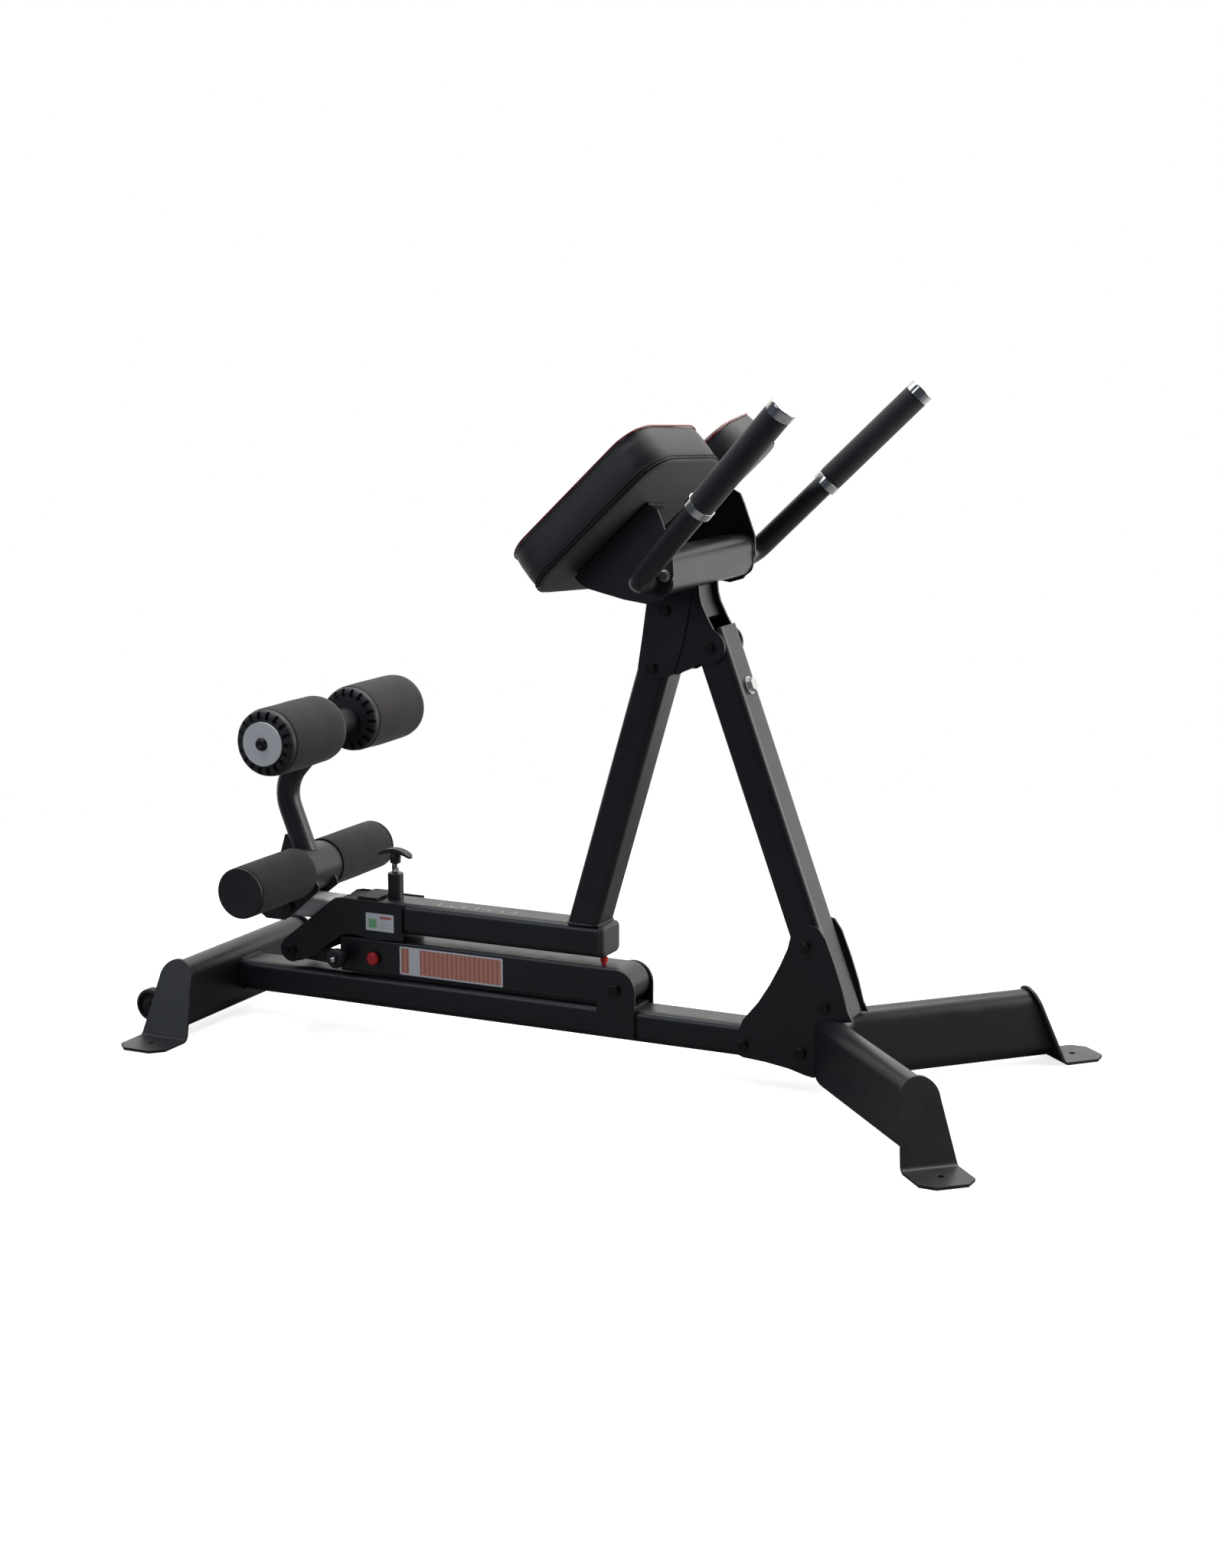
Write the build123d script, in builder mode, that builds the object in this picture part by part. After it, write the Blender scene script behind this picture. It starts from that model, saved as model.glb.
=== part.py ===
from build123d import *
from math import cos, sin, tan, radians, sqrt
import os

# Folding hyperextension bench: a base with an upright, a swing frame hinged on the upright
# that carries the hip pads and handles, a sliding ankle carriage and a telescopic prop.
#
# +X head and handle end, -X foot end, +Y left side, +Z up, floor at z = 0.
# Y = 0 is the plane of symmetry. Pieces are drawn in a frame that save() shifts along X.

os.makedirs("parts", exist_ok=True)

# ---------------------------------------------------------------- shared sizes (mm)
MID_SHIFT = 27.09        # brings x = 0 to the middle of the overall length
BASE_W = 69.0            # width across Y of the base-side box tubes
ARM_W = 70.0             # width across Y of the swing-side box tubes
PLATE = 5.0              # structural plate thickness
WALL = 3.0               # tube wall
THIN_WALL = 2.5          # wall of the slider, handlebars, ankle post and lower roller
CORNER = 12.0            # box tube corner radius
RUN = 0.05               # radial running clearance
BOLT_R, BOLT_HOLE_R = 5.0, 5.2
CUT_Y = 60.0             # cross holes are cut from this |y|, outside every tube
BASE_SEAT = BASE_W / 2 + PLATE      # |y| of the outer faces of the base-side plates
ARM_SEAT = ARM_W / 2 + PLATE        # the same on the swing side

# Pivots, as (x, z)
HINGE = (209.6, 730.0)              # upright to swing frame
PROP_BASE = (40.0, 132.0)           # prop to base clevis
PROP_ARM = (-604.5, 132.0)          # prop to arm casing
HINGE_R, PROP_PIVOT_R = 8.0, 6.0

LEFT, RIGHT = Vector(0, 1, 0), Vector(0, -1, 0)
SIDES = ((1, "left"), (-1, "right"))


# ---------------------------------------------------------------- helpers
def plane_at(point, y, out):
    """Plane on an (x, z) point at height y, normal out * Y, local x along +X."""
    return Plane(origin=(point[0], y, point[1]), x_dir=(1, 0, 0), z_dir=(0, out, 0))


def planes_at(points, y, out):
    return [plane_at(point, y, out) for point in points]


def side_plane(y):
    """Drawing plane at y: local x = +X, local y = +Z, normal -Y."""
    return plane_at((0, 0), y, -1)


def end_plane(x, z, y=0, out=1):
    """Plane across X: local x = +Y, normal out * X."""
    return Plane(origin=(x, y, z), x_dir=(0, 1, 0), z_dir=(out, 0, 0))


def plate_starts(half_width):
    """Y of the side planes from which a plate is extruded on the right and on the left."""
    return -half_width, half_width + PLATE


def box_profile(width, height, corner, wall=WALL):
    """Hollow rounded rectangle in the current sketch."""
    RectangleRounded(width, height, corner)
    RectangleRounded(width - 2 * wall, height - 2 * wall, corner - wall, mode=Mode.SUBTRACT)


def ring(outer_r, inner_r):
    """Ring in the current sketch."""
    Circle(outer_r)
    Circle(inner_r, mode=Mode.SUBTRACT)


def hexagon(across_flats):
    RegularPolygon(across_flats / 2, 6, major_radius=False)


def mirrored(vector, s):
    """The vector on the left (s = 1) or the right (s = -1)."""
    return Vector(vector.X, s * vector.Y, vector.Z)


def circles_of(builder):
    return builder.edges().filter_by(GeomType.CIRCLE)


def circles_at(builder, y):
    """Circular edges centred on the given y."""
    return [e for e in circles_of(builder) if abs(e.arc_center.Y - y) < 0.1]


def through_bolts(points, seat, radius=BOLT_R, flats=16.0, head=6.5, nut=8.0):
    """Bolts along Y: head and washer on the right, separate nuts on the left, seats at |y|."""
    washer = 1.6
    with BuildPart() as bolts:
        with BuildSketch(*planes_at(points, -seat - washer, -1)):
            hexagon(flats)
        extrude(amount=head)
        with BuildSketch(*planes_at(points, -seat, -1)):
            Circle(flats * 0.62)
        extrude(amount=washer)
        with BuildSketch(*planes_at(points, -seat, 1)):
            Circle(radius)
        extrude(amount=2 * seat + nut + 3)
        with BuildSketch(*planes_at(points, seat, 1)):
            hexagon(flats)
            Circle(radius + 0.08, mode=Mode.SUBTRACT)
        extrude(amount=nut)
    return bolts.part


def save(part, name):
    part = Pos(MID_SHIFT, 0, 0) * part
    part.label = name
    export_step(part, "parts/" + name + ".step")


# ---------------------------------------------------------------- stabilisers
STAB_W, STAB_Z0, STAB_Z1 = 50.0, 10.0, 129.0        # flat-oval tube
STAB_H = STAB_Z1 - STAB_Z0
STAB_ZC = (STAB_Z0 + STAB_Z1) / 2
REAR_X = -743.0
REAR_FOOT_Y = 241.0      # |y| where a rear foot leaf meets the floor
V_X, V_ANGLE, V_BEND = 399.0, 46.9, 55.0            # front V: vertex, half angle, bend radius
V_ARM = 470.0            # drawn length of each arm of the V
FRONT_FOOT = 440.0       # distance from the vertex where a front foot leaf meets the floor
LEAN = 22.0              # the foot leaves lean inward going up (deg)
LEAN_TAN = tan(radians(LEAN))

v_left = Vector(cos(radians(V_ANGLE)), sin(radians(V_ANGLE)), 0)
v_right = mirrored(v_left, -1)

# Tube ends: outward direction, (x, y) the distance is taken from, distance to the leaf
REAR_ENDS = [(LEFT, (REAR_X, 0), REAR_FOOT_Y), (RIGHT, (REAR_X, 0), REAR_FOOT_Y)]
FRONT_ENDS = [(v_left, (V_X, 0), FRONT_FOOT), (v_right, (V_X, 0), FRONT_FOOT)]


def leaf_plane(direction, corner, distance):
    """Plane of a foot leaf's inner face, which trims the tube end."""
    level, rise = cos(radians(LEAN)), sin(radians(LEAN))
    return Plane(
        origin=(corner[0] + distance * direction.X, corner[1] + distance * direction.Y, 0),
        z_dir=(direction.X * level, direction.Y * level, rise),
    )


def front_v(hollow):
    """The V-shaped front tube before its ends are trimmed."""
    end_x, end_y = V_X + V_ARM * v_left.X, V_ARM * v_left.Y
    start = (end_x, -end_y, STAB_ZC)
    with BuildPart() as tube:
        with BuildLine():
            FilletPolyline(start, (V_X, 0, STAB_ZC), (end_x, end_y, STAB_ZC), radius=V_BEND)
        with BuildSketch(Plane(origin=start, x_dir=(0, 0, 1), z_dir=(-v_left.X, v_left.Y, 0))):
            SlotOverall(STAB_H, STAB_W)
            if hollow:
                SlotOverall(STAB_H - 2 * WALL, STAB_W - 2 * WALL, mode=Mode.SUBTRACT)
        sweep()
    return tube.part


front_core = front_v(hollow=False)       # solid, for fitting other pieces around the tube
front_tube = front_v(hollow=True)

with BuildPart() as front_stabiliser:
    add(front_tube)
    for end in FRONT_ENDS:
        split(bisect_by=leaf_plane(*end), keep=Keep.BOTTOM)
save(front_stabiliser.part, "front_stabiliser")

with BuildPart() as rear_stabiliser:
    with BuildSketch(Plane(origin=(REAR_X, 0, STAB_ZC), x_dir=(0, 0, 1), z_dir=(0, 1, 0))):
        SlotOverall(STAB_H, STAB_W)
        SlotOverall(STAB_H - 2 * WALL, STAB_W - 2 * WALL, mode=Mode.SUBTRACT)
    extrude(amount=260, both=True)
    for end in REAR_ENDS:
        split(bisect_by=leaf_plane(*end), keep=Keep.BOTTOM)
save(rear_stabiliser.part, "rear_stabiliser")

# ---------------------------------------------------------------- feet
FOOT_W, FOOT_TOP_R, FOOT_TOP_Z = 92.0, 33.5, 134.0
FLANGE = 86.0            # reach of the floor flange beyond the leaf
FOOT_SHOULDER_Z = 9.0    # the leaf tapers above this height
FOOT_OUTER_BEND, FOOT_INNER_BEND = 14, 9
FLANGE_CHAMFER = 20
FLOOR_HOLE_R, FLOOR_HOLE_OUT = 5.5, 42


def foot(direction, corner, distance):
    """Bent plate: a round-topped leaf leaning inward going up, and a flange outward."""
    x0, y0 = corner[0] + distance * direction.X, corner[1] + distance * direction.Y
    root = (x0, y0, 0)
    across = direction.cross(Vector(0, 0, 1))
    leaf_t = PLATE / cos(radians(LEAN))             # leaf thickness measured level
    over_z = FOOT_TOP_Z * 1.02                      # runs past the rounded top
    inside_x = leaf_t - LEAN_TAN * PLATE            # corner between leaf and flange top
    with BuildPart() as bent:
        with BuildSketch(Plane(origin=root, x_dir=direction, z_dir=across)) as profile:
            Polygon(
                (-LEAN_TAN * over_z, over_z), (0, 0), (FLANGE, 0), (FLANGE, PLATE),
                (inside_x, PLATE), (leaf_t - LEAN_TAN * over_z, over_z), align=None,
            )
            corners = profile.vertices()
            fillet(min(corners, key=lambda v: v.X ** 2 + v.Y ** 2), FOOT_OUTER_BEND)
            corners = profile.vertices()
            nearest = min(corners, key=lambda v: (v.X - inside_x) ** 2 + (v.Y - PLATE) ** 2)
            fillet(nearest, FOOT_INNER_BEND)
        extrude(amount=FOOT_W / 2, both=True)
        # End view of the foot, kept where it overlaps the bent strip
        view_from = (x0 - 90 * direction.X, y0 - 90 * direction.Y, 0)
        with BuildSketch(Plane(origin=view_from, x_dir=(-across.X, -across.Y, 0), z_dir=direction)):
            top_zc = FOOT_TOP_Z - FOOT_TOP_R
            Polygon(
                (-FOOT_W / 2, -2), (FOOT_W / 2, -2), (FOOT_W / 2, FOOT_SHOULDER_Z),
                (FOOT_TOP_R, top_zc), (-FOOT_TOP_R, top_zc), (-FOOT_W / 2, FOOT_SHOULDER_Z),
                align=None,
            )
            with Locations((0, top_zc)):
                Circle(FOOT_TOP_R)
        extrude(amount=220, mode=Mode.INTERSECT)
        tip_edges = [
            e for e in bent.edges().filter_by(Axis.Z)
            if (Vector(e.center()) - Vector(*root)).dot(direction) > FLANGE - 3
        ]
        chamfer(tip_edges, FLANGE_CHAMFER)
        hole_at = (x0 + FLOOR_HOLE_OUT * direction.X, y0 + FLOOR_HOLE_OUT * direction.Y, 0)
        with BuildSketch(Plane(origin=hole_at)):
            Circle(FLOOR_HOLE_R)
        extrude(amount=PLATE + 1, mode=Mode.SUBTRACT)
    return bent.part


for name, ends in (("rear_feet", REAR_ENDS), ("front_feet", FRONT_ENDS)):
    pair = [foot(*end) for end in ends]
    with BuildPart() as feet:
        add(pair)
    save(feet.part, name)

# ---------------------------------------------------------------- base tube and upright
BASE_Z0, BASE_Z1 = 43.0, 99.0
BASE_X0, BASE_X1 = REAR_X + STAB_W / 2, 425.0
UP_X0, UP_SLOPE, UP_T = 447.5, -0.3685, 58.4        # low-x edge x = UP_X0 + UP_SLOPE z, thickness
UP_DRAW_Z, UP_FOOT_Z = 90, 130                      # z where it is drawn from, and cut off
STOP_Z = 665                                        # height of the stop bolt
BASE_BOLTS = [(380.0, 66.0), (276.5, 67.0)]
UPRIGHT_BOLTS = [(384.5, 246.0), (420.0, 147.0)]
GUSSET_BOLTS = BASE_BOLTS + UPRIGHT_BOLTS
HINGE_BUSH_R = 12

with BuildPart() as base_tube:
    with BuildSketch(end_plane(BASE_X0, (BASE_Z0 + BASE_Z1) / 2)):
        box_profile(BASE_W, BASE_Z1 - BASE_Z0, CORNER)
    extrude(amount=BASE_X1 - BASE_X0)
    add(front_core, mode=Mode.SUBTRACT)
    with BuildSketch(*planes_at(BASE_BOLTS, CUT_Y, -1)):
        Circle(BOLT_HOLE_R)
    extrude(amount=2 * CUT_Y, mode=Mode.SUBTRACT)
save(base_tube.part, "base_tube")

up_stretch = sqrt(1 + UP_SLOPE ** 2)                # length along the upright per unit z
up_dir = Vector(UP_SLOPE / up_stretch, 0, 1 / up_stretch)
up_half = UP_T * up_stretch / 2                     # half thickness measured level
stop_normal = Vector(1 / up_stretch, 0, -UP_SLOPE / up_stretch)
stop_seat = Vector(UP_X0 + UP_SLOPE * STOP_Z + 2 * up_half, 0, STOP_Z)

with BuildPart() as upright_tube:
    up_origin = (UP_X0 + UP_SLOPE * UP_DRAW_Z + up_half, 0, UP_DRAW_Z)
    with BuildSketch(Plane(origin=up_origin, x_dir=(0, 1, 0), z_dir=up_dir)):
        box_profile(BASE_W, UP_T, CORNER)
    extrude(amount=(HINGE[1] - UP_DRAW_Z) * up_stretch + 25)
    split(bisect_by=Plane.XY.offset(UP_FOOT_Z), keep=Keep.TOP)
    with BuildSketch(*planes_at(UPRIGHT_BOLTS, CUT_Y, -1)):
        Circle(BOLT_HOLE_R)
    extrude(amount=2 * CUT_Y, mode=Mode.SUBTRACT)
    with BuildSketch(plane_at(HINGE, CUT_Y, -1)):
        Circle(HINGE_BUSH_R)
    extrude(amount=2 * CUT_Y, mode=Mode.SUBTRACT)
    with BuildSketch(Plane(origin=stop_seat, z_dir=stop_normal)):
        Circle(5.1)
    extrude(amount=-10, mode=Mode.SUBTRACT)
save(upright_tube.part, "upright_tube")

# Hexagon head, shank and loose washer on the head-end face of the upright
with BuildPart() as stop_bolt:
    with BuildSketch(Plane(origin=stop_seat + stop_normal * 3.0, z_dir=stop_normal)):
        RegularPolygon(12.0, 6)
    extrude(amount=8)
    with BuildSketch(Plane(origin=stop_seat - stop_normal * 9.0, z_dir=stop_normal)):
        Circle(BOLT_R)
    extrude(amount=13)
    with BuildSketch(Plane(origin=stop_seat, z_dir=stop_normal)):
        ring(15, 5.3)
    extrude(amount=2.9)
save(stop_bolt.part, "stop_bolt")

# Gusset outline (x, z)
GUSSET = [
    (360, 265), (369, 277), (389, 284), (407, 280), (420, 262), (437, 220), (451, 179),
    (460, 145), (469, 129), (448, 126), (430, 113), (420, 90), (417, 59), (414, 33),
    (403, 26), (389, 28), (359, 36), (318, 42), (277, 45), (266, 49), (263, 59),
    (267, 86), (276, 110), (303, 143), (323, 175), (341, 210), (354, 240),
]
with BuildPart() as gusset_plates:
    for y in plate_starts(BASE_W / 2):
        with BuildSketch(side_plane(y)):
            with BuildLine():
                Polyline(*GUSSET, close=True)
            make_face()
            with Locations(*GUSSET_BOLTS):
                Circle(BOLT_HOLE_R, mode=Mode.SUBTRACT)
        extrude(amount=PLATE)
    add(front_core, mode=Mode.SUBTRACT)
save(gusset_plates.part, "gusset_plates")
save(through_bolts(GUSSET_BOLTS, BASE_SEAT), "gusset_bolts")

# Two round-topped plates and a pad on the base tube
CLEVIS_X, CLEVIS_Z0, CLEVIS_R = 41, 50, 35.5
with BuildPart() as clevis_bracket:
    for y in plate_starts(BASE_W / 2):
        with BuildSketch(side_plane(y)):
            with Locations((CLEVIS_X, (CLEVIS_Z0 + PROP_BASE[1]) / 2)):
                Rectangle(2 * CLEVIS_R, PROP_BASE[1] - CLEVIS_Z0)
            with Locations((CLEVIS_X, PROP_BASE[1])):
                Circle(CLEVIS_R)
            with Locations(PROP_BASE):
                Circle(PROP_PIVOT_R + 0.1, mode=Mode.SUBTRACT)
        extrude(amount=PLATE)
    with BuildSketch(Plane(origin=(CLEVIS_X, 0, BASE_Z1))):
        Rectangle(60, BASE_W)
    extrude(amount=3)
save(clevis_bracket.part, "clevis_bracket")

prop_pivot_bolt = through_bolts(
    [PROP_BASE], BASE_SEAT, radius=PROP_PIVOT_R, flats=18.0, head=7.0, nut=9.0
)
save(prop_pivot_bolt, "prop_pivot_bolt")

# Flanged bushes in both walls of the upright
BUSH_INNER_Y = 12
with BuildPart() as hinge_bushes:
    for s in (-1, 1):
        with BuildSketch(plane_at(HINGE, s * BUSH_INNER_Y, s)):
            ring(HINGE_BUSH_R, HINGE_R + RUN)
        extrude(amount=BASE_W / 2 - BUSH_INNER_Y)
        with BuildSketch(plane_at(HINGE, s * BASE_W / 2, s)):
            ring(17, HINGE_R + RUN)
        extrude(amount=0.45)
save(hinge_bushes.part, "hinge_bushes")

# ---------------------------------------------------------------- transport wheels
WHEEL = (-803.0, 44.0)              # axle (x, z)
WHEEL_Y = 190.0
STAB_BACK = REAR_X - STAB_W / 2     # foot-end face of the rear stabiliser
LUG_T = 3                           # bracket sheet thickness
LUG_Z0, LUG_Z1 = 36, 66
# Hub, web and tyre: half width, outer radius, bore radius
WHEEL_RINGS = [(12.5, 11, BOLT_R + RUN), (4, 24, 9), (11, 29.5, 22.5)]

# Wheel lug outline (x, z), from the stabiliser round the axle
WHEEL_LUG = [
    (STAB_BACK, LUG_Z0), (STAB_BACK, LUG_Z1), (STAB_BACK - 12, LUG_Z1),
    (WHEEL[0] - 6, WHEEL[1] + 11), (WHEEL[0] - 12, WHEEL[1]), (WHEEL[0] - 6, WHEEL[1] - 11),
    (STAB_BACK - 12, LUG_Z0),
]
with BuildPart() as wheel_brackets:
    for s in (-1, 1):
        with BuildSketch(end_plane(STAB_BACK, (LUG_Z0 + LUG_Z1) / 2, y=s * WHEEL_Y, out=-1)):
            Rectangle(32, LUG_Z1 - LUG_Z0)
        extrude(amount=LUG_T)
        for lug_y in (-16, 13):
            with BuildSketch(side_plane(s * WHEEL_Y + lug_y + LUG_T)):
                with BuildLine():
                    Polyline(*WHEEL_LUG, close=True)
                make_face()
                with Locations(WHEEL):
                    Circle(5.1, mode=Mode.SUBTRACT)
            extrude(amount=LUG_T)
save(wheel_brackets.part, "wheel_brackets")

for s, side in SIDES:
    with BuildPart() as wheel:
        for half_width, outer_r, bore_r in WHEEL_RINGS:
            with BuildSketch(plane_at(WHEEL, s * WHEEL_Y - half_width, 1)):
                ring(outer_r, bore_r)
            extrude(amount=2 * half_width)
        fillet(circles_of(wheel).sort_by(SortBy.RADIUS)[-2:], 5)
    save(wheel.part, "wheel_" + side)

with BuildPart() as wheel_axles:
    for s in (-1, 1):
        with BuildSketch(plane_at(WHEEL, s * (WHEEL_Y + 16), s)):
            hexagon(16)
        extrude(amount=4)
        with BuildSketch(plane_at(WHEEL, s * (WHEEL_Y + 17), -s)):
            Circle(BOLT_R)
        extrude(amount=38)
save(wheel_axles.part, "wheel_axles")

# ---------------------------------------------------------------- swing frame tubes
LEG_X0, LEG_SLOPE, LEG_T = -124.4, 0.292, 57.2      # low-x edge x = LEG_X0 + LEG_SLOPE z, thickness
LEG_DRAW_Z, LEG_TOP_Z = 200, 832
LEG_BOLTS = [(132.5, 786.0), (109.0, 690.0)]
ARM_Z0, ARM_Z1 = 182.0, 238.0
ARM_H, ARM_ZC = ARM_Z1 - ARM_Z0, (ARM_Z0 + ARM_Z1) / 2
ARM_X0, ARM_X1 = -590.0, 6.0
CROSS, CROSS_W, CROSS_H, CROSS_R = (168.0, 860.0), 66.0, 70.0, 24.0
CROSS_HALF = 165.0                  # half length across Y
PIN_X = -409.0

# Solid crosstube, for fitting other pieces around it
with BuildPart() as cross_core:
    with BuildSketch(plane_at(CROSS, 0, -1)):
        RectangleRounded(CROSS_W, CROSS_H, CROSS_R)
    extrude(amount=CROSS_HALF, both=True)

with BuildPart() as crosstube:
    with BuildSketch(plane_at(CROSS, 0, -1)):
        box_profile(CROSS_W, CROSS_H, CROSS_R)
    extrude(amount=CROSS_HALF, both=True)
save(crosstube.part, "crosstube")

leg_stretch = sqrt(1 + LEG_SLOPE ** 2)
leg_dir = Vector(LEG_SLOPE / leg_stretch, 0, 1 / leg_stretch)
leg_half = LEG_T * leg_stretch / 2
with BuildPart() as leg_tube:
    leg_origin = (LEG_X0 + LEG_SLOPE * LEG_DRAW_Z + leg_half, 0, LEG_DRAW_Z)
    with BuildSketch(Plane(origin=leg_origin, x_dir=(0, 1, 0), z_dir=leg_dir)):
        box_profile(ARM_W, LEG_T, CORNER)
    extrude(amount=700)
    split(bisect_by=Plane.XY.offset(ARM_Z1), keep=Keep.TOP)
    split(bisect_by=Plane.XY.offset(LEG_TOP_Z), keep=Keep.BOTTOM)
    add(cross_core.part, mode=Mode.SUBTRACT)
    with BuildSketch(*planes_at(LEG_BOLTS, CUT_Y, -1)):
        Circle(BOLT_HOLE_R)
    extrude(amount=2 * CUT_Y, mode=Mode.SUBTRACT)
save(leg_tube.part, "leg_tube")

arm_cut = Plane(origin=(-500, 0, ARM_Z1), z_dir=(-0.61, 0, 0.793))      # slanted foot end
with BuildPart() as arm_tube:
    with BuildSketch(end_plane(ARM_X0, ARM_ZC)):
        box_profile(ARM_W, ARM_H, CORNER)
    extrude(amount=ARM_X1 - ARM_X0)
    split(bisect_by=arm_cut, keep=Keep.BOTTOM)
    with BuildSketch(Plane(origin=(PIN_X, 0, 220))):
        Circle(BOLT_HOLE_R)
    extrude(amount=30, mode=Mode.SUBTRACT)
save(arm_tube.part, "arm_tube")

with BuildPart() as arm_end_cap:
    with BuildSketch(end_plane(ARM_X1, ARM_ZC)):
        RectangleRounded(ARM_W, ARM_H, CORNER)
    extrude(amount=10)
    fillet(arm_end_cap.faces().sort_by(Axis.X)[-1].edges(), 7)
    with BuildSketch(end_plane(ARM_X1, ARM_ZC, out=-1)):
        RectangleRounded(ARM_W - 2 * WALL - 0.2, ARM_H - 2 * WALL - 0.2, CORNER - WALL)
    extrude(amount=22)
save(arm_end_cap.part, "arm_end_cap")

# ---------------------------------------------------------------- arm mouth
SLIDER_W, SLIDER_H, SLIDER_R = 58.0, 39.0, 8.0

# Sleeve inside the arm and a raised pad on top of it
with BuildPart() as slide_liner:
    with BuildSketch(end_plane(ARM_X0, ARM_ZC)):
        RectangleRounded(ARM_W - 2 * WALL, ARM_H - 2 * WALL, CORNER - WALL)
        RectangleRounded(SLIDER_W + 0.2, SLIDER_H + 0.2, SLIDER_R + 0.1, mode=Mode.SUBTRACT)
    extrude(amount=130)
    split(bisect_by=arm_cut, keep=Keep.BOTTOM)
    with BuildSketch(Plane(origin=(-449, 0, ARM_Z1))):
        RectangleRounded(42, 66, 4)
    extrude(amount=5)
save(slide_liner.part, "slide_liner")

# Casing outline (x, z): top and foot end, curved underside, then the head end
CASING_TOP = [
    (-374, 238.4), (-500, 238.4), (-512, 236), (-522, 229), (-572, 188),
    (-619, 150), (-604, 110), (-582, 115), (-566, 122), (-551, 129),
]
CASING_UNDER = [
    (-551, 129), (-535, 144), (-522, 155), (-501, 169), (-477, 174), (-453, 171), (-430, 168.5),
]
CASING_END = [(-430, 168.5), (-376, 172), (-374, 238.4)]
with BuildPart() as casing_plates:
    for y in plate_starts(ARM_W / 2):
        with BuildSketch(side_plane(y)):
            with BuildLine():
                Polyline(*CASING_TOP)
                Spline(*CASING_UNDER)
                Polyline(*CASING_END)
            make_face()
            with Locations(PROP_ARM):
                Circle(22.5)
                Circle(6.1, mode=Mode.SUBTRACT)
        extrude(amount=PLATE)
save(casing_plates.part, "casing_plates")

with BuildPart() as prop_end_screws:
    for s in (-1, 1):
        with BuildSketch(plane_at(PROP_ARM, s * ARM_W / 2, s)):
            Circle(PROP_PIVOT_R)
        extrude(amount=PLATE + 2)
        with BuildSketch(plane_at(PROP_ARM, s * ARM_SEAT, s)):
            Circle(11)
        extrude(amount=2)
        with BuildSketch(plane_at(PROP_ARM, s * (ARM_SEAT + 2), s)):
            hexagon(17)
            Circle(4.0, mode=Mode.SUBTRACT)
        extrude(amount=5)
save(prop_end_screws.part, "prop_end_screws")

with BuildPart() as pin_barrel:
    with BuildSketch(Plane(origin=(PIN_X, 0, ARM_Z1))):
        ring(14, BOLT_R + RUN)
    extrude(amount=47)
    fillet(circles_of(pin_barrel).group_by(Axis.Z)[-1].sort_by(SortBy.RADIUS)[-1:], 2)
save(pin_barrel.part, "pin_barrel")

# Turned pin with an arched handle; half profile as (radius, z)
PIN_PROFILE = [
    (0, 230.6), (4, 230.6), (5, 231.6), (5, 302), (9.5, 303), (10, 314), (8, 323), (0, 323),
]
GRIP_HALF = 33                      # half length of the arch
GRIP_TOP_Z, GRIP_UNDER_Z = 316.0, 312.5     # heights of the arch ends
with BuildPart() as pull_pin:
    with BuildSketch(Plane.XZ):
        with BuildLine():
            Polyline(*PIN_PROFILE, close=True)
        make_face()
    revolve(axis=Axis.Z)
    with BuildPart(mode=Mode.PRIVATE) as arch:
        with BuildSketch(side_plane(0)):
            with BuildLine():
                ThreePointArc((-GRIP_HALF, GRIP_TOP_Z), (0, 329.0), (GRIP_HALF, GRIP_TOP_Z))
                Line((GRIP_HALF, GRIP_TOP_Z), (GRIP_HALF, GRIP_UNDER_Z))
                ThreePointArc((GRIP_HALF, GRIP_UNDER_Z), (0, 321.5), (-GRIP_HALF, GRIP_UNDER_Z))
                Line((-GRIP_HALF, GRIP_UNDER_Z), (-GRIP_HALF, GRIP_TOP_Z))
            make_face()
        extrude(amount=12, both=True)
        with BuildSketch(Plane(origin=(0, 0, 300))):
            RectangleRounded(65, 18, 7)
        extrude(amount=40, mode=Mode.INTERSECT)
    add(arch.part)
save(Pos(PIN_X, 0, 0) * pull_pin.part, "pull_pin")

# ---------------------------------------------------------------- hinge head
# Outlines (x, z) of the cheek, the doubler outside it and the web between the cheeks
CHEEK = [
    (176, 832), (191, 832), (193, 812), (197, 797), (209, 773), (224, 748), (235, 733),
    (209.6, 702), (196, 701), (182, 696), (168, 688), (155, 681), (148, 681), (134, 675),
    (109, 672), (90, 678), (84, 690), (92, 742), (99, 793), (105, 832),
]
DOUBLER = [
    (105, 832), (99, 793), (92, 742), (84, 690), (90, 678), (109, 672), (134, 675),
    (148, 681), (153, 695), (165, 734), (175, 785), (180, 832),
]
HEAD_WEB = [
    (176, 829), (180.5, 829), (182.5, 812), (186.5, 797), (197, 775), (193, 773),
    (182, 795), (178, 811),
]
DOUBLER_T = 3
cheek_ys = plate_starts(ARM_W / 2)
doubler_ys = (-ARM_SEAT, ARM_SEAT + DOUBLER_T)

with BuildPart() as hinge_cheeks:
    for cheek_y, doubler_y in zip(cheek_ys, doubler_ys):
        with BuildSketch(side_plane(cheek_y)):
            with BuildLine():
                Polyline(*CHEEK, close=True)
            make_face()
            with Locations(HINGE):
                Circle(28)
                Circle(HINGE_R + 0.1, mode=Mode.SUBTRACT)
            with Locations(*LEG_BOLTS):
                Circle(BOLT_HOLE_R, mode=Mode.SUBTRACT)
        extrude(amount=PLATE)
        with BuildSketch(side_plane(doubler_y)):
            with BuildLine():
                Polyline(*DOUBLER, close=True)
            make_face()
            with Locations(*LEG_BOLTS):
                Circle(BOLT_HOLE_R, mode=Mode.SUBTRACT)
        extrude(amount=DOUBLER_T)
    add(cross_core.part, mode=Mode.SUBTRACT)
save(hinge_cheeks.part, "hinge_cheeks")

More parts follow.
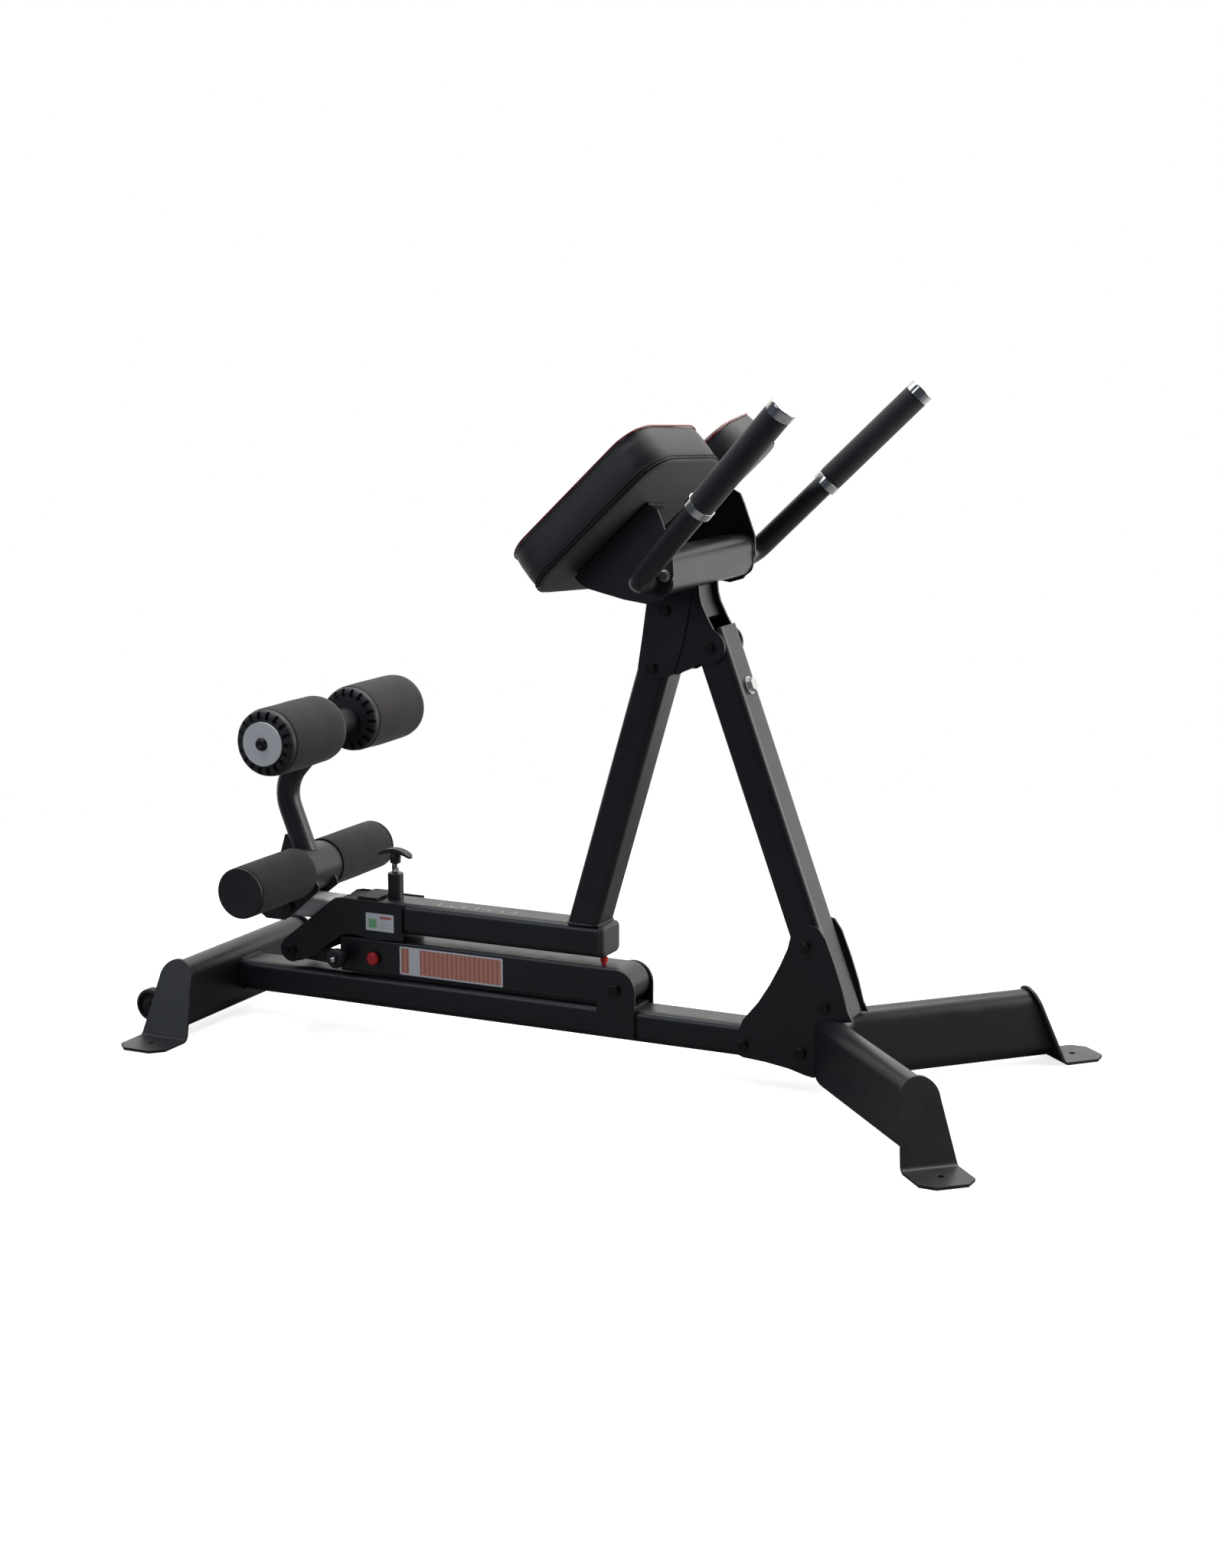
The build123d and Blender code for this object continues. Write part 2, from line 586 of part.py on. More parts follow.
with BuildPart() as head_web:
    with BuildSketch(side_plane(0)):
        with BuildLine():
            Polyline(*HEAD_WEB, close=True)
        make_face()
    extrude(amount=ARM_W / 2, both=True)
    add(cross_core.part, mode=Mode.SUBTRACT)
save(head_web.part, "head_web")

save(through_bolts(LEG_BOLTS, ARM_SEAT + DOUBLER_T), "leg_bolts")
pivot_bolt = through_bolts([HINGE], ARM_SEAT, radius=HINGE_R, flats=17.0, head=8.0, nut=10.0)
save(pivot_bolt, "pivot_bolt")

# ---------------------------------------------------------------- hip pads
PAD_PITCH, PAD_CANT = 43.6, 8.7                 # slope up towards +X, sideways tilt (deg)
PAD_L, PAD_W, PAD_T, BOARD_T = 322.0, 213.0, 66.0, 9.0
PAD_SKEW, PAD_R = 9.4, 54.0                     # slant of a pad's ends, corner radius
PAD_FRONT = Vector(66.4, 134.1, 983.5)          # centre of the left pad's front face
BOARD_INSET = 4
PAD_SCREW_R, PAD_SCREW_HOLE_R = 4.0, 4.1
PAD_BACK = PAD_T + BOARD_T + PLATE              # depth of the bracket's rear face
# Bracket web outline (x, z)
PAD_WEB = [
    (31, 849), (160, 971), (176, 963), (184, 945), (203, 893), (205, 860), (197, 836),
    (182, 819), (159, 812), (119, 817), (78, 826), (56, 831), (38, 840),
]


def pad_plane(s, depth):
    """Plane depth behind a pad's front face; local x runs up the pad, local y towards +Y."""
    pitch, cant = radians(PAD_PITCH), radians(PAD_CANT)
    normal = Vector(-sin(pitch) * cos(cant), -s * sin(cant), cos(pitch) * cos(cant))
    origin = mirrored(PAD_FRONT, s) - normal * depth
    return Plane(origin=origin, x_dir=(cos(pitch), 0, sin(pitch)), z_dir=normal)


def pad_outline(s, inset):
    length, width = PAD_L / 2 - inset, PAD_W / 2 - inset
    return [
        (length - PAD_SKEW, s * width), (-length - PAD_SKEW, s * width),
        (-length + PAD_SKEW, -s * width), (length + PAD_SKEW, -s * width),
    ]


def pad_screw_points(s):
    return [(-75, s * -4), (25, s * -4)]


for s, side in SIDES:
    with BuildPart() as hip_pad:
        with BuildSketch(pad_plane(s, PAD_T)) as outline:
            Polygon(*pad_outline(s, 0), align=None)
            fillet(outline.vertices(), PAD_R)
        extrude(amount=PAD_T)
        facing = Axis((0, 0, 0), pad_plane(s, 0).z_dir)
        fillet(hip_pad.faces().sort_by(facing)[-1].edges(), 14)
    save(hip_pad.part, "hip_pad_" + side)

with BuildPart() as pad_boards:
    for s in (1, -1):
        with BuildSketch(pad_plane(s, PAD_T + BOARD_T)) as outline:
            Polygon(*pad_outline(s, BOARD_INSET), align=None)
            fillet(outline.vertices(), PAD_R - BOARD_INSET)
            with Locations(*pad_screw_points(s)):
                Circle(PAD_SCREW_HOLE_R, mode=Mode.SUBTRACT)
        extrude(amount=BOARD_T)
save(pad_boards.part, "pad_boards")

# Web on the end of the crosstube and a plate behind the board
right_web_y, left_web_y = plate_starts(CROSS_HALF)
for (s, side), web_y in zip(SIDES, (left_web_y, right_web_y)):
    with BuildPart() as pad_bracket:
        with BuildSketch(side_plane(web_y)):
            with BuildLine():
                Polyline(*PAD_WEB, close=True)
            make_face()
        extrude(amount=PLATE)
        with BuildSketch(pad_plane(s, PAD_BACK)):
            with Locations((-25, s * -0.5)):
                Rectangle(172, 50)
            with Locations(*pad_screw_points(s)):
                Circle(PAD_SCREW_HOLE_R, mode=Mode.SUBTRACT)
        extrude(amount=PLATE)
    save(pad_bracket.part, "pad_bracket_" + side)

with BuildPart() as pad_screws:
    for s in (-1, 1):
        for radius, length in ((PAD_SCREW_R, PLATE + BOARD_T - 1), (8.0, -4)):  # shank, head
            with BuildSketch(pad_plane(s, PAD_BACK)):
                with Locations(*pad_screw_points(s)):
                    Circle(radius)
            extrude(amount=length)
save(pad_screws.part, "pad_screws")

# ---------------------------------------------------------------- handles
HANDLE_END = Vector(448.0, 309.0, 1138.0)       # outer end of the left handle
HANDLE_DIR = Vector(0.6862, 0.1852, 0.7042).normalized()
HANDLE_ROOT = (160.0, 851.0)                    # (x, z) on the bracket web
HANDLE_SEAT = CROSS_HALF + PLATE                # |y| of the web's outer face
HANDLE_STRAIGHT, HANDLE_BEND = 403.0, 34        # end to bend corner, bend radius
HANDLE_R, GRIP_R, TRIM_R = 18.5, 22.0, 23.6
GRIP_BACK, GRIP_L = 220, 202                    # start measured back from the end, length
TRIM_L, TRIM_CAP = 14, 3.8
HANDLE_BOLT = (190.0, 859.0)
HANDLE_FIT_R = HANDLE_R + RUN                   # bore of grips and trims

for s, side in SIDES:
    end, direction = mirrored(HANDLE_END, s), mirrored(HANDLE_DIR, s)
    root = (HANDLE_ROOT[0], s * HANDLE_SEAT, HANDLE_ROOT[1])
    knee = end - direction * HANDLE_STRAIGHT
    tip = end - direction * 4
    with BuildPart() as handlebar:
        with BuildLine():
            FilletPolyline(root, tuple(knee), tuple(tip), radius=HANDLE_BEND)
        with BuildSketch(Plane(origin=root, z_dir=knee - Vector(*root))):
            ring(HANDLE_R, HANDLE_R - THIN_WALL)
        sweep()
        split(bisect_by=Plane(origin=(0, s * HANDLE_SEAT, 0), z_dir=(0, s, 0)), keep=Keep.TOP)
    save(handlebar.part, "handlebar_" + side)

with BuildPart() as grips:
    for s in (-1, 1):
        end, direction = mirrored(HANDLE_END, s), mirrored(HANDLE_DIR, s)
        with BuildSketch(Plane(origin=end - direction * GRIP_BACK, z_dir=direction)):
            ring(GRIP_R, HANDLE_FIT_R)
        extrude(amount=GRIP_L)
save(grips.part, "grips")

# A ring at each end of the grip; the outer one is closed by a cap
TRIM_RINGS = [(GRIP_BACK + TRIM_L, TRIM_L), (GRIP_BACK - GRIP_L, 14.2)]     # back from end, length
with BuildPart() as grip_trims:
    for s in (-1, 1):
        end, direction = mirrored(HANDLE_END, s), mirrored(HANDLE_DIR, s)
        for back, length in TRIM_RINGS:
            with BuildSketch(Plane(origin=end - direction * back, z_dir=direction)):
                ring(TRIM_R, HANDLE_FIT_R)
            extrude(amount=length)
        with BuildSketch(Plane(origin=end - direction * TRIM_CAP, z_dir=direction)):
            Circle(TRIM_R)
        extrude(amount=TRIM_CAP)
    end_rims = [
        e for e in circles_of(grip_trims)
        if abs(e.radius - TRIM_R) < 0.01
        and min((Vector(e.arc_center) - mirrored(HANDLE_END, s)).length for s in (-1, 1)) < 1
    ]
    fillet(end_rims, 2.5)
save(grip_trims.part, "grip_trims")

with BuildPart() as handle_bolts:
    for s in (-1, 1):
        with BuildSketch(plane_at(HANDLE_BOLT, s * HANDLE_SEAT, s)):
            Circle(10)
        extrude(amount=2)
        with BuildSketch(plane_at(HANDLE_BOLT, s * (HANDLE_SEAT + 2), s)):
            hexagon(15)
        extrude(amount=6)
save(handle_bolts.part, "handle_bolts")

# ---------------------------------------------------------------- ankle carriage: lower roller
ROLLER_Y = 10.0                     # the rollers sit this far to the left
LOW = (-595.0, 273.0)               # lower roller axis (x, z)
LOW_R, LOW_FOAM_R = 42.5, 45.5
LOW_HALF = 221                      # half length of the roller tube
LOW_CAP_Y, LOW_CAP_T = 221.2, 5     # cap seat from the roller middle, cap thickness
ROLL_IN = 46.0                      # inner ends of the foams from the roller middle

# Solid roller, for fitting other pieces around it
with BuildPart() as low_core:
    with BuildSketch(plane_at(LOW, ROLLER_Y + LOW_HALF + 1, -1)):
        Circle(LOW_R)
    extrude(amount=2 * (LOW_HALF + 1))

with BuildPart() as lower_roller_tube:
    with BuildSketch(plane_at(LOW, ROLLER_Y + LOW_HALF, -1)):
        ring(LOW_R, LOW_R - THIN_WALL)
    extrude(amount=2 * LOW_HALF)
save(lower_roller_tube.part, "lower_roller_tube")

with BuildPart() as lower_foams:
    for s in (-1, 1):
        with BuildSketch(plane_at(LOW, ROLLER_Y + s * ROLL_IN, s)):
            ring(LOW_FOAM_R, LOW_R + RUN)
        extrude(amount=173)
save(lower_foams.part, "lower_foams")

with BuildPart() as lower_caps:
    for s in (-1, 1):
        with BuildSketch(plane_at(LOW, ROLLER_Y + s * LOW_CAP_Y, s)):
            Circle(LOW_FOAM_R - 0.5)
        extrude(amount=LOW_CAP_T)
        with BuildSketch(plane_at(LOW, ROLLER_Y + s * LOW_CAP_Y, -s)):
            Circle(LOW_R - 2.6)
        extrude(amount=18)
    outer_rims = [
        e for e in circles_of(lower_caps)
        if abs(abs(e.arc_center.Y - ROLLER_Y) - LOW_CAP_Y - LOW_CAP_T) < 0.1
    ]
    fillet(outer_rims, 2)
save(lower_caps.part, "lower_caps")

# ---------------------------------------------------------------- ankle carriage: slider and post
BRACKET_BOLT = (-611.0, 209.5)
ROLL = (-536.0, 541.5)              # upper roller axis (x, z)
POST_R, POST_BEND = 21.0, 75
POST_FOOT, POST_KNEE = Vector(-588, 0, 290), Vector(-641, 0, 426.6)
AXLE_R = 12.5

with BuildPart() as slider_tube:
    with BuildSketch(end_plane(-640, ARM_ZC)):
        box_profile(SLIDER_W, SLIDER_H, SLIDER_R, wall=THIN_WALL)
    extrude(amount=390)
    with BuildSketch(plane_at(BRACKET_BOLT, CUT_Y, -1)):
        Circle(BOLT_HOLE_R)
    extrude(amount=2 * CUT_Y, mode=Mode.SUBTRACT)
save(slider_tube.part, "slider_tube")

# Roller bracket outline (x, z)
ROLLER_BRACKET = [
    (-549, 243), (-566, 229.5), (-614, 188), (-622, 183), (-660, 183),
    (-672, 191), (-672, 222), (-640, 262), (-556, 262), (-549, 252),
]
with BuildPart() as roller_bracket:
    for y in plate_starts(SLIDER_W / 2):
        with BuildSketch(side_plane(y)):
            with BuildLine():
                Polyline(*ROLLER_BRACKET, close=True)
            make_face()
            with Locations(BRACKET_BOLT):
                Circle(BOLT_HOLE_R, mode=Mode.SUBTRACT)
        extrude(amount=PLATE)
    add(low_core.part, mode=Mode.SUBTRACT)
save(roller_bracket.part, "roller_bracket")
save(through_bolts([BRACKET_BOLT], SLIDER_W / 2 + PLATE), "bracket_bolt")

# Bent tube with a cross barrel at the top and a web at the foot; web outline (x, z)
POST_WEB = [(-634, 262), (-651, 284), (-636, 334), (-614, 334), (-600, 300)]
with BuildPart() as ankle_post:
    with BuildLine():
        FilletPolyline(
            tuple(POST_FOOT), tuple(POST_KNEE), (ROLL[0], 0, ROLL[1]), radius=POST_BEND
        )
    with BuildSketch(Plane(origin=POST_FOOT, x_dir=(0, 1, 0), z_dir=POST_KNEE - POST_FOOT)):
        ring(POST_R, POST_R - THIN_WALL)
    sweep()
    with BuildSketch(plane_at(ROLL, ROLLER_Y + 44, -1)):
        Circle(23)
    extrude(amount=88)
    with BuildSketch(side_plane(4)):
        with BuildLine():
            Polyline(*POST_WEB, close=True)
        make_face()
    extrude(amount=8)
    add(low_core.part, mode=Mode.SUBTRACT)
    with BuildSketch(plane_at(ROLL, CUT_Y, -1)):
        Circle(AXLE_R + 0.1)
    extrude(amount=2 * CUT_Y, mode=Mode.SUBTRACT)
save(ankle_post.part, "ankle_post")

# ---------------------------------------------------------------- ankle carriage: upper rollers
FOAM_R, FOAM_BORE_R = 58.5, 30
HUB_R, HUB_T, HUB_FILLET = 57.5, 14.0, 11
ROLL_OUT = 229.0                    # outer face of the outer hubs from the roller middle
AXLE_HALF = 230

with BuildPart() as upper_axle:
    with BuildSketch(plane_at(ROLL, ROLLER_Y + AXLE_HALF, -1)):
        Circle(AXLE_R)
    extrude(amount=2 * AXLE_HALF)
save(upper_axle.part, "upper_axle")

for s, side in SIDES:
    with BuildPart() as roller_foam:
        with BuildSketch(plane_at(ROLL, ROLLER_Y + s * (ROLL_IN + HUB_T), s)):
            ring(FOAM_R, FOAM_BORE_R)
        extrude(amount=ROLL_OUT - ROLL_IN - 2 * HUB_T)
    save(roller_foam.part, "roller_foam_" + side)

    # Rounded discs at both ends of the foam, slotted round the rim, with a spigot inside it
    with BuildPart() as roller_hubs:
        for distance, out in ((ROLL_IN + HUB_T, -s), (ROLL_OUT - HUB_T, s)):
            seat_y = ROLLER_Y + s * distance
            face_y = seat_y + out * HUB_T
            with BuildPart(mode=Mode.PRIVATE) as hub:
                with BuildSketch(plane_at(ROLL, seat_y, out)):
                    Circle(HUB_R)
                extrude(amount=HUB_T)
                fillet(circles_at(hub, face_y), HUB_FILLET)
                with BuildSketch(plane_at(ROLL, face_y, -out)):
                    with PolarLocations(48, 18):
                        SlotOverall(15, 7)
                extrude(amount=6, mode=Mode.SUBTRACT)
                with BuildSketch(plane_at(ROLL, seat_y, -out)):
                    Circle(FOAM_BORE_R - 0.1)
                extrude(amount=34)
                with BuildSketch(plane_at(ROLL, seat_y + 60 * out, -out)):
                    Circle(AXLE_R + RUN)
                extrude(amount=120, mode=Mode.SUBTRACT)
            add(hub.part)
    save(roller_hubs.part, "roller_hubs_" + side)

with BuildPart() as end_discs:
    for s in (-1, 1):
        with BuildSketch(plane_at(ROLL, ROLLER_Y + s * 230.5, s)):
            Circle(38)
        extrude(amount=4)
        with BuildSketch(plane_at(ROLL, ROLLER_Y + s * 234.5, s)):
            Circle(9)
        extrude(amount=3)
        with BuildSketch(plane_at(ROLL, ROLLER_Y + s * 237.5, s)):
            Circle(8)
            RegularPolygon(4, 6, major_radius=False, mode=Mode.SUBTRACT)
        extrude(amount=2)
save(end_discs.part, "end_discs")

# ---------------------------------------------------------------- telescopic prop: outer tube
OUTER_X0, OUTER_HALF_W, OUTER_Z0, OUTER_Z1 = -504.0, 34.0, 103.0, 168.0
OUTER_ZC, OUTER_HALF_H = (OUTER_Z0 + OUTER_Z1) / 2, (OUTER_Z1 - OUTER_Z0) / 2
KNOB = (-496.0, 133.0)
BUTTON = (-435.0, 134.0)
BUTTON_R = 6

# Box tube whose head end is rounded about the base pivot
with BuildPart() as prop_outer:
    with BuildSketch(side_plane(0)):
        with Locations(((OUTER_X0 + PROP_BASE[0]) / 2, OUTER_ZC)):
            Rectangle(PROP_BASE[0] - OUTER_X0, 2 * OUTER_HALF_H)
        with Locations((PROP_BASE[0], OUTER_ZC)):
            Circle(OUTER_HALF_H)
    extrude(amount=OUTER_HALF_W, both=True)
    fillet([e for e in prop_outer.edges().filter_by(Axis.X) if e.length > 300], 5)
    bore_x0 = OUTER_X0 - 20         # past the open end
    with BuildSketch(side_plane(0)):
        with Locations(((bore_x0 + PROP_BASE[0]) / 2, OUTER_ZC)):
            Rectangle(PROP_BASE[0] - bore_x0, 2 * OUTER_HALF_H - 2 * WALL)
        with Locations((PROP_BASE[0], OUTER_ZC)):
            Circle(OUTER_HALF_H - WALL)
    extrude(amount=OUTER_HALF_W - WALL, both=True, mode=Mode.SUBTRACT)
    with BuildSketch(plane_at(PROP_BASE, CUT_Y, -1)):
        Circle(PROP_PIVOT_R + RUN)
    extrude(amount=2 * CUT_Y, mode=Mode.SUBTRACT)
    for centre, radius in ((KNOB, BOLT_R + RUN), (BUTTON, BUTTON_R + 0.2)):
        with BuildSketch(plane_at(centre, -CUT_Y, 1)):
            Circle(radius)
        extrude(amount=35, mode=Mode.SUBTRACT)
save(prop_outer.part, "prop_outer")

with BuildPart() as knob_housing:
    with BuildSketch(plane_at(KNOB, -OUTER_HALF_W, -1)):
        hexagon(20)
        Circle(BOLT_R + RUN, mode=Mode.SUBTRACT)
    extrude(amount=19)
save(knob_housing.part, "knob_housing")

with BuildPart() as prop_knob:
    with BuildSketch(plane_at(KNOB, -28.6, -1)):
        Circle(BOLT_R)
    extrude(amount=32)
    with BuildSketch(plane_at(KNOB, -53.5, -1)):
        Circle(17.5)
    extrude(amount=18)
    fillet([e for e in circles_of(prop_knob) if e.radius > 15], 5)
    with BuildSketch(plane_at(KNOB, -67, -1)):
        Circle(6.5)
    extrude(amount=9)
    fillet(circles_at(prop_knob, -76), 2)
save(prop_knob.part, "prop_knob")

with BuildPart() as red_button:
    with BuildSketch(plane_at(BUTTON, -32.6, -1)):
        Circle(BUTTON_R)
    extrude(amount=8)
    with BuildSketch(plane_at(BUTTON, -38.6, -1)):
        Circle(12)
    extrude(amount=6)
    fillet(circles_at(red_button, -44.6), 4)
save(red_button.part, "red_button")

BUMPER_X, BUMPER_Y, BUMPER_STEM = 9, -16, 5.5
with BuildPart() as bumper:
    with BuildSketch(Plane(origin=(BUMPER_X, BUMPER_Y, OUTER_Z1))):
        Circle(4)
    extrude(amount=BUMPER_STEM)
    with BuildSketch(Plane(origin=(BUMPER_X, BUMPER_Y, OUTER_Z1 + BUMPER_STEM))):
        Circle(6.5)
    extrude(amount=7.9)
save(bumper.part, "bumper")

# ---------------------------------------------------------------- telescopic prop: inner tube
INNER_X0, INNER_X1, INNER_W, INNER_H, INNER_R = -506.0, 8.0, 56.0, 46.0, 6
INNER_ZC = PROP_BASE[1]
# Tongue from the closed tube end to the pivot barrel (x, z)
TONGUE = [
    (INNER_X0 - 2, 109), (PROP_ARM[0], 113), (PROP_ARM[0], 140), (-585, 125), (INNER_X0 - 2, 125),
]
with BuildPart() as prop_inner:
    with BuildSketch(end_plane(INNER_X0, INNER_ZC)):
        box_profile(INNER_W, INNER_H, INNER_R)
    extrude(amount=INNER_X1 - INNER_X0)
    with BuildSketch(end_plane(INNER_X0, INNER_ZC, out=-1)):
        RectangleRounded(INNER_W, INNER_H, INNER_R)
    extrude(amount=3)
    with BuildSketch(side_plane(0)):
        with BuildLine():
            Polyline(*TONGUE, close=True)
        make_face()
    extrude(amount=22, both=True)
    with BuildSketch(plane_at(PROP_ARM, 34.3, -1)):
        Circle(18)
    extrude(amount=68.6)
    with BuildSketch(plane_at(PROP_ARM, CUT_Y, -1)):
        Circle(6.3)
    extrude(amount=2 * CUT_Y, mode=Mode.SUBTRACT)
save(prop_inner.part, "prop_inner")

# Sleeve between the two tubes at the prop mouth
with BuildPart() as prop_slides:
    with BuildSketch(end_plane(OUTER_X0 + 2, OUTER_ZC)):
        Rectangle(2 * OUTER_HALF_W - 2 * WALL, 2 * OUTER_HALF_H - 2 * WALL)
        with Locations((0, INNER_ZC - OUTER_ZC)):
            RectangleRounded(INNER_W + 0.2, INNER_H + 0.2, INNER_R + 0.1, mode=Mode.SUBTRACT)
    extrude(amount=70)
    for centre, radius in ((KNOB, BOLT_HOLE_R), (BUTTON, BUTTON_R + 0.4)):
        with BuildSketch(plane_at(centre, -CUT_Y, 1)):
            Circle(radius)
        extrude(amount=40, mode=Mode.SUBTRACT)
save(prop_slides.part, "prop_slides")
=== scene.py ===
"""Exercise bench: two hip pads, foam rollers and hand grips on a swinging frame.

Metres, +Z up, floor near z = 0. X runs along the base, with the rear stabiliser towards -X
and the handlebars towards +X. Left is +Y, right is -Y.
"""

import math

import bmesh
import bpy
import numpy as np
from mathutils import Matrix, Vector, kdtree


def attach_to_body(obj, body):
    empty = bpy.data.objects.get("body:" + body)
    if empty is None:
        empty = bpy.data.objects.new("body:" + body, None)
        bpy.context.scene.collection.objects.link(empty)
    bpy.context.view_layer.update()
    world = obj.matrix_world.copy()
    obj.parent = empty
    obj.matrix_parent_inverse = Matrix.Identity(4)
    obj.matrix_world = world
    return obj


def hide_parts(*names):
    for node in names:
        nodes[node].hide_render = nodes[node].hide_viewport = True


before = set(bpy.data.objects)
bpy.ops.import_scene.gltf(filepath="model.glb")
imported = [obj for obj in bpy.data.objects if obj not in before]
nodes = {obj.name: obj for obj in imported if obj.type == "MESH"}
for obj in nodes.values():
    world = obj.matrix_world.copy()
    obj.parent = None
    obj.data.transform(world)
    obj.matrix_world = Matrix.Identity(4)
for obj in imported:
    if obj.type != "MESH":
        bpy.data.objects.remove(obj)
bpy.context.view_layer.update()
scene = bpy.context.scene

SIDES = (("left", 1), ("right", -1))  # name and sign of Y
SHIFT_X = 0.02709  # added to every X, so that the origin is the middle of the overall length
ROLLER_X = SHIFT_X - 0.536
ROLLER_Z = 0.5415
AXLE_Y = 0.010  # both foam axles are centred a little left of the middle plane


# ------------------------------------------------------------------ shader helpers
SURFACE_INPUTS = {
    "color": "Base Color",
    "rough": "Roughness",
    "metal": "Metallic",
    "spec": "Specular IOR Level",
    "sheen": "Sheen Weight",
    "sheen_rough": "Sheen Roughness",
    "coat": "Coat Weight",
    "coat_rough": "Coat Roughness",
    "normal": "Normal",
}


class Shader:
    """A node tree, with short calls that add nodes to it and return their outputs."""

    def __init__(self, block, output):
        block.use_nodes = True
        self.tree = block.node_tree
        self.tree.nodes.clear()
        self.out = self.add(output).inputs[0]
        self.coords = self.add("ShaderNodeTexCoord").outputs

    def add(self, kind, inputs=None, **settings):
        node = self.tree.nodes.new(kind)
        for name, value in settings.items():
            setattr(node, name, value)
        for key, value in (inputs or {}).items():
            self.feed(node.inputs[key], value)
        return node

    def feed(self, socket, value):
        """Link another socket, or set a number, vector or RGB colour."""
        if isinstance(value, bpy.types.NodeSocket):
            self.tree.links.new(value, socket)
        else:
            socket.default_value = (*value, 1) if socket.type == "RGBA" else value

    def xyz(self, space="Object"):
        return self.add("ShaderNodeSeparateXYZ", {0: self.coords[space]}).outputs

    def camera_ray(self):
        return self.add("ShaderNodeLightPath").outputs["Is Camera Ray"]

    def noise(self, scale, detail=2.0, roughness=0.5, vector=None):
        inputs = {"Scale": scale, "Detail": detail, "Roughness": roughness}
        inputs["Vector"] = self.coords["Object"] if vector is None else vector
        return self.add("ShaderNodeTexNoise", inputs).outputs["Fac"]

    def voronoi(self, scale, feature="F1", vector=None):
        inputs = {"Scale": scale}
        inputs["Vector"] = self.coords["Object"] if vector is None else vector
        return self.add("ShaderNodeTexVoronoi", inputs, feature=feature).outputs["Distance"]

    def calc(self, operation, first, second=0.0, clamp=False):
        inputs = {0: first, 1: second}
        node = self.add("ShaderNodeMath", inputs, operation=operation, use_clamp=clamp)
        return node.outputs[0]

    def hypot(self, first, second):
        squares = [self.calc("MULTIPLY", value, value) for value in (first, second)]
        return self.calc("SQRT", self.calc("ADD", *squares))

    def wave(self, value, frequency):
        return self.calc("SINE", self.calc("MULTIPLY", value, frequency))

    def band(self, value, low, high):
        """1 between low and high, 0 elsewhere."""
        above = self.calc("GREATER_THAN", value, low)
        return self.calc("MULTIPLY", above, self.calc("LESS_THAN", value, high))

    def remap(self, value, source=(0.3, 0.7), target=(0.0, 1.0)):
        inputs = {"Value": value, "From Min": source[0], "From Max": source[1]}
        inputs.update({"To Min": target[0], "To Max": target[1]})
        return self.add("ShaderNodeMapRange", inputs).outputs[0]

    def mix(self, factor, first, second):
        inputs = {0: factor, 6: first, 7: second}
        return self.add("ShaderNodeMix", inputs, data_type="RGBA").outputs[2]

    def mottle(self, value, low, high, source=(0.3, 0.7)):
        """Colour that goes from low to high as the value crosses the source range."""
        return self.mix(self.remap(value, source), low, high)

    def bump(self, height, strength, distance, normal=None):
        inputs = {"Strength": strength, "Distance": distance, "Height": height}
        if normal is not None:
            inputs["Normal"] = normal
        return self.add("ShaderNodeBump", inputs).outputs[0]

    def soft_normal(self, radius):
        """Normal with the edges rounded."""
        return self.add("ShaderNodeBevel", {"Radius": radius}, samples=4).outputs[0]

    def edge_mask(self, soft):
        """0 on flats, 1 where the rounded normal leaves the true one."""
        true = self.add("ShaderNodeNewGeometry").outputs["Normal"]
        dot = self.add("ShaderNodeVectorMath", {0: soft, 1: true}, operation="DOT_PRODUCT")
        return self.remap(dot.outputs["Value"], source=(0.985, 0.80))


class Material(Shader):
    def __init__(self, name):
        self.block = bpy.data.materials.new(name)
        super().__init__(self.block, "ShaderNodeOutputMaterial")
        self.principled = self.add("ShaderNodeBsdfPrincipled")
        self.feed(self.out, self.principled.outputs[0])

    def surface(self, **values):
        for name, value in values.items():
            self.feed(self.principled.inputs[SURFACE_INPUTS[name]], value)
        return self.block


def scaled(tint, factor):
    return tuple(min(1, channel * factor) for channel in tint)


# ------------------------------------------------------------------ materials
def powder_coat():
    """Black paint with fine peel, pale specks and worn edges."""
    mat = Material("powder_coat_black")
    soft = mat.soft_normal(radius=0.0018)
    edge = mat.edge_mask(soft)
    cloud = mat.noise(scale=7, detail=3, roughness=0.55)
    speck = mat.noise(scale=1500, detail=1)
    peel = mat.noise(scale=620)
    color = mat.mottle(cloud, low=(0.0125, 0.0132, 0.0165), high=(0.017, 0.0178, 0.0215))
    speck = mat.remap(speck, source=(0.62, 0.74), target=(0, 0.35))
    color = mat.mix(speck, color, (0.045, 0.045, 0.05))
    patches = mat.noise(scale=55, detail=4, roughness=0.6)
    patches = mat.remap(patches, source=(0.45, 0.72), target=(0.0, 0.55))
    color = mat.mix(mat.calc("MULTIPLY", edge, patches, clamp=True), color, (0.075, 0.073, 0.07))
    rough = mat.remap(mat.noise(scale=30, detail=3, roughness=0.6), target=(0.31, 0.39))
    normal = mat.bump(peel, strength=0.22, distance=0.00025, normal=soft)
    return mat.surface(color=color, rough=rough, spec=0.5, normal=normal)


def bolt_black():
    mat = Material("bolt_black_oxide")
    soft = mat.soft_normal(radius=0.0008)
    edge = mat.edge_mask(soft)
    stain = mat.noise(scale=160, detail=4, roughness=0.6)
    color = mat.mottle(
        stain, low=(0.016, 0.016, 0.018), high=(0.035, 0.034, 0.034), source=(0.35, 0.7))
    color = mat.mix(mat.calc("MULTIPLY", edge, 0.7), color, (0.16, 0.155, 0.15))
    rough = mat.remap(mat.noise(scale=90), target=(0.30, 0.45))
    grain = mat.noise(scale=900, detail=1)
    normal = mat.bump(grain, strength=0.12, distance=0.0002, normal=soft)
    return mat.surface(color=color, rough=rough, metal=0.6, normal=normal)


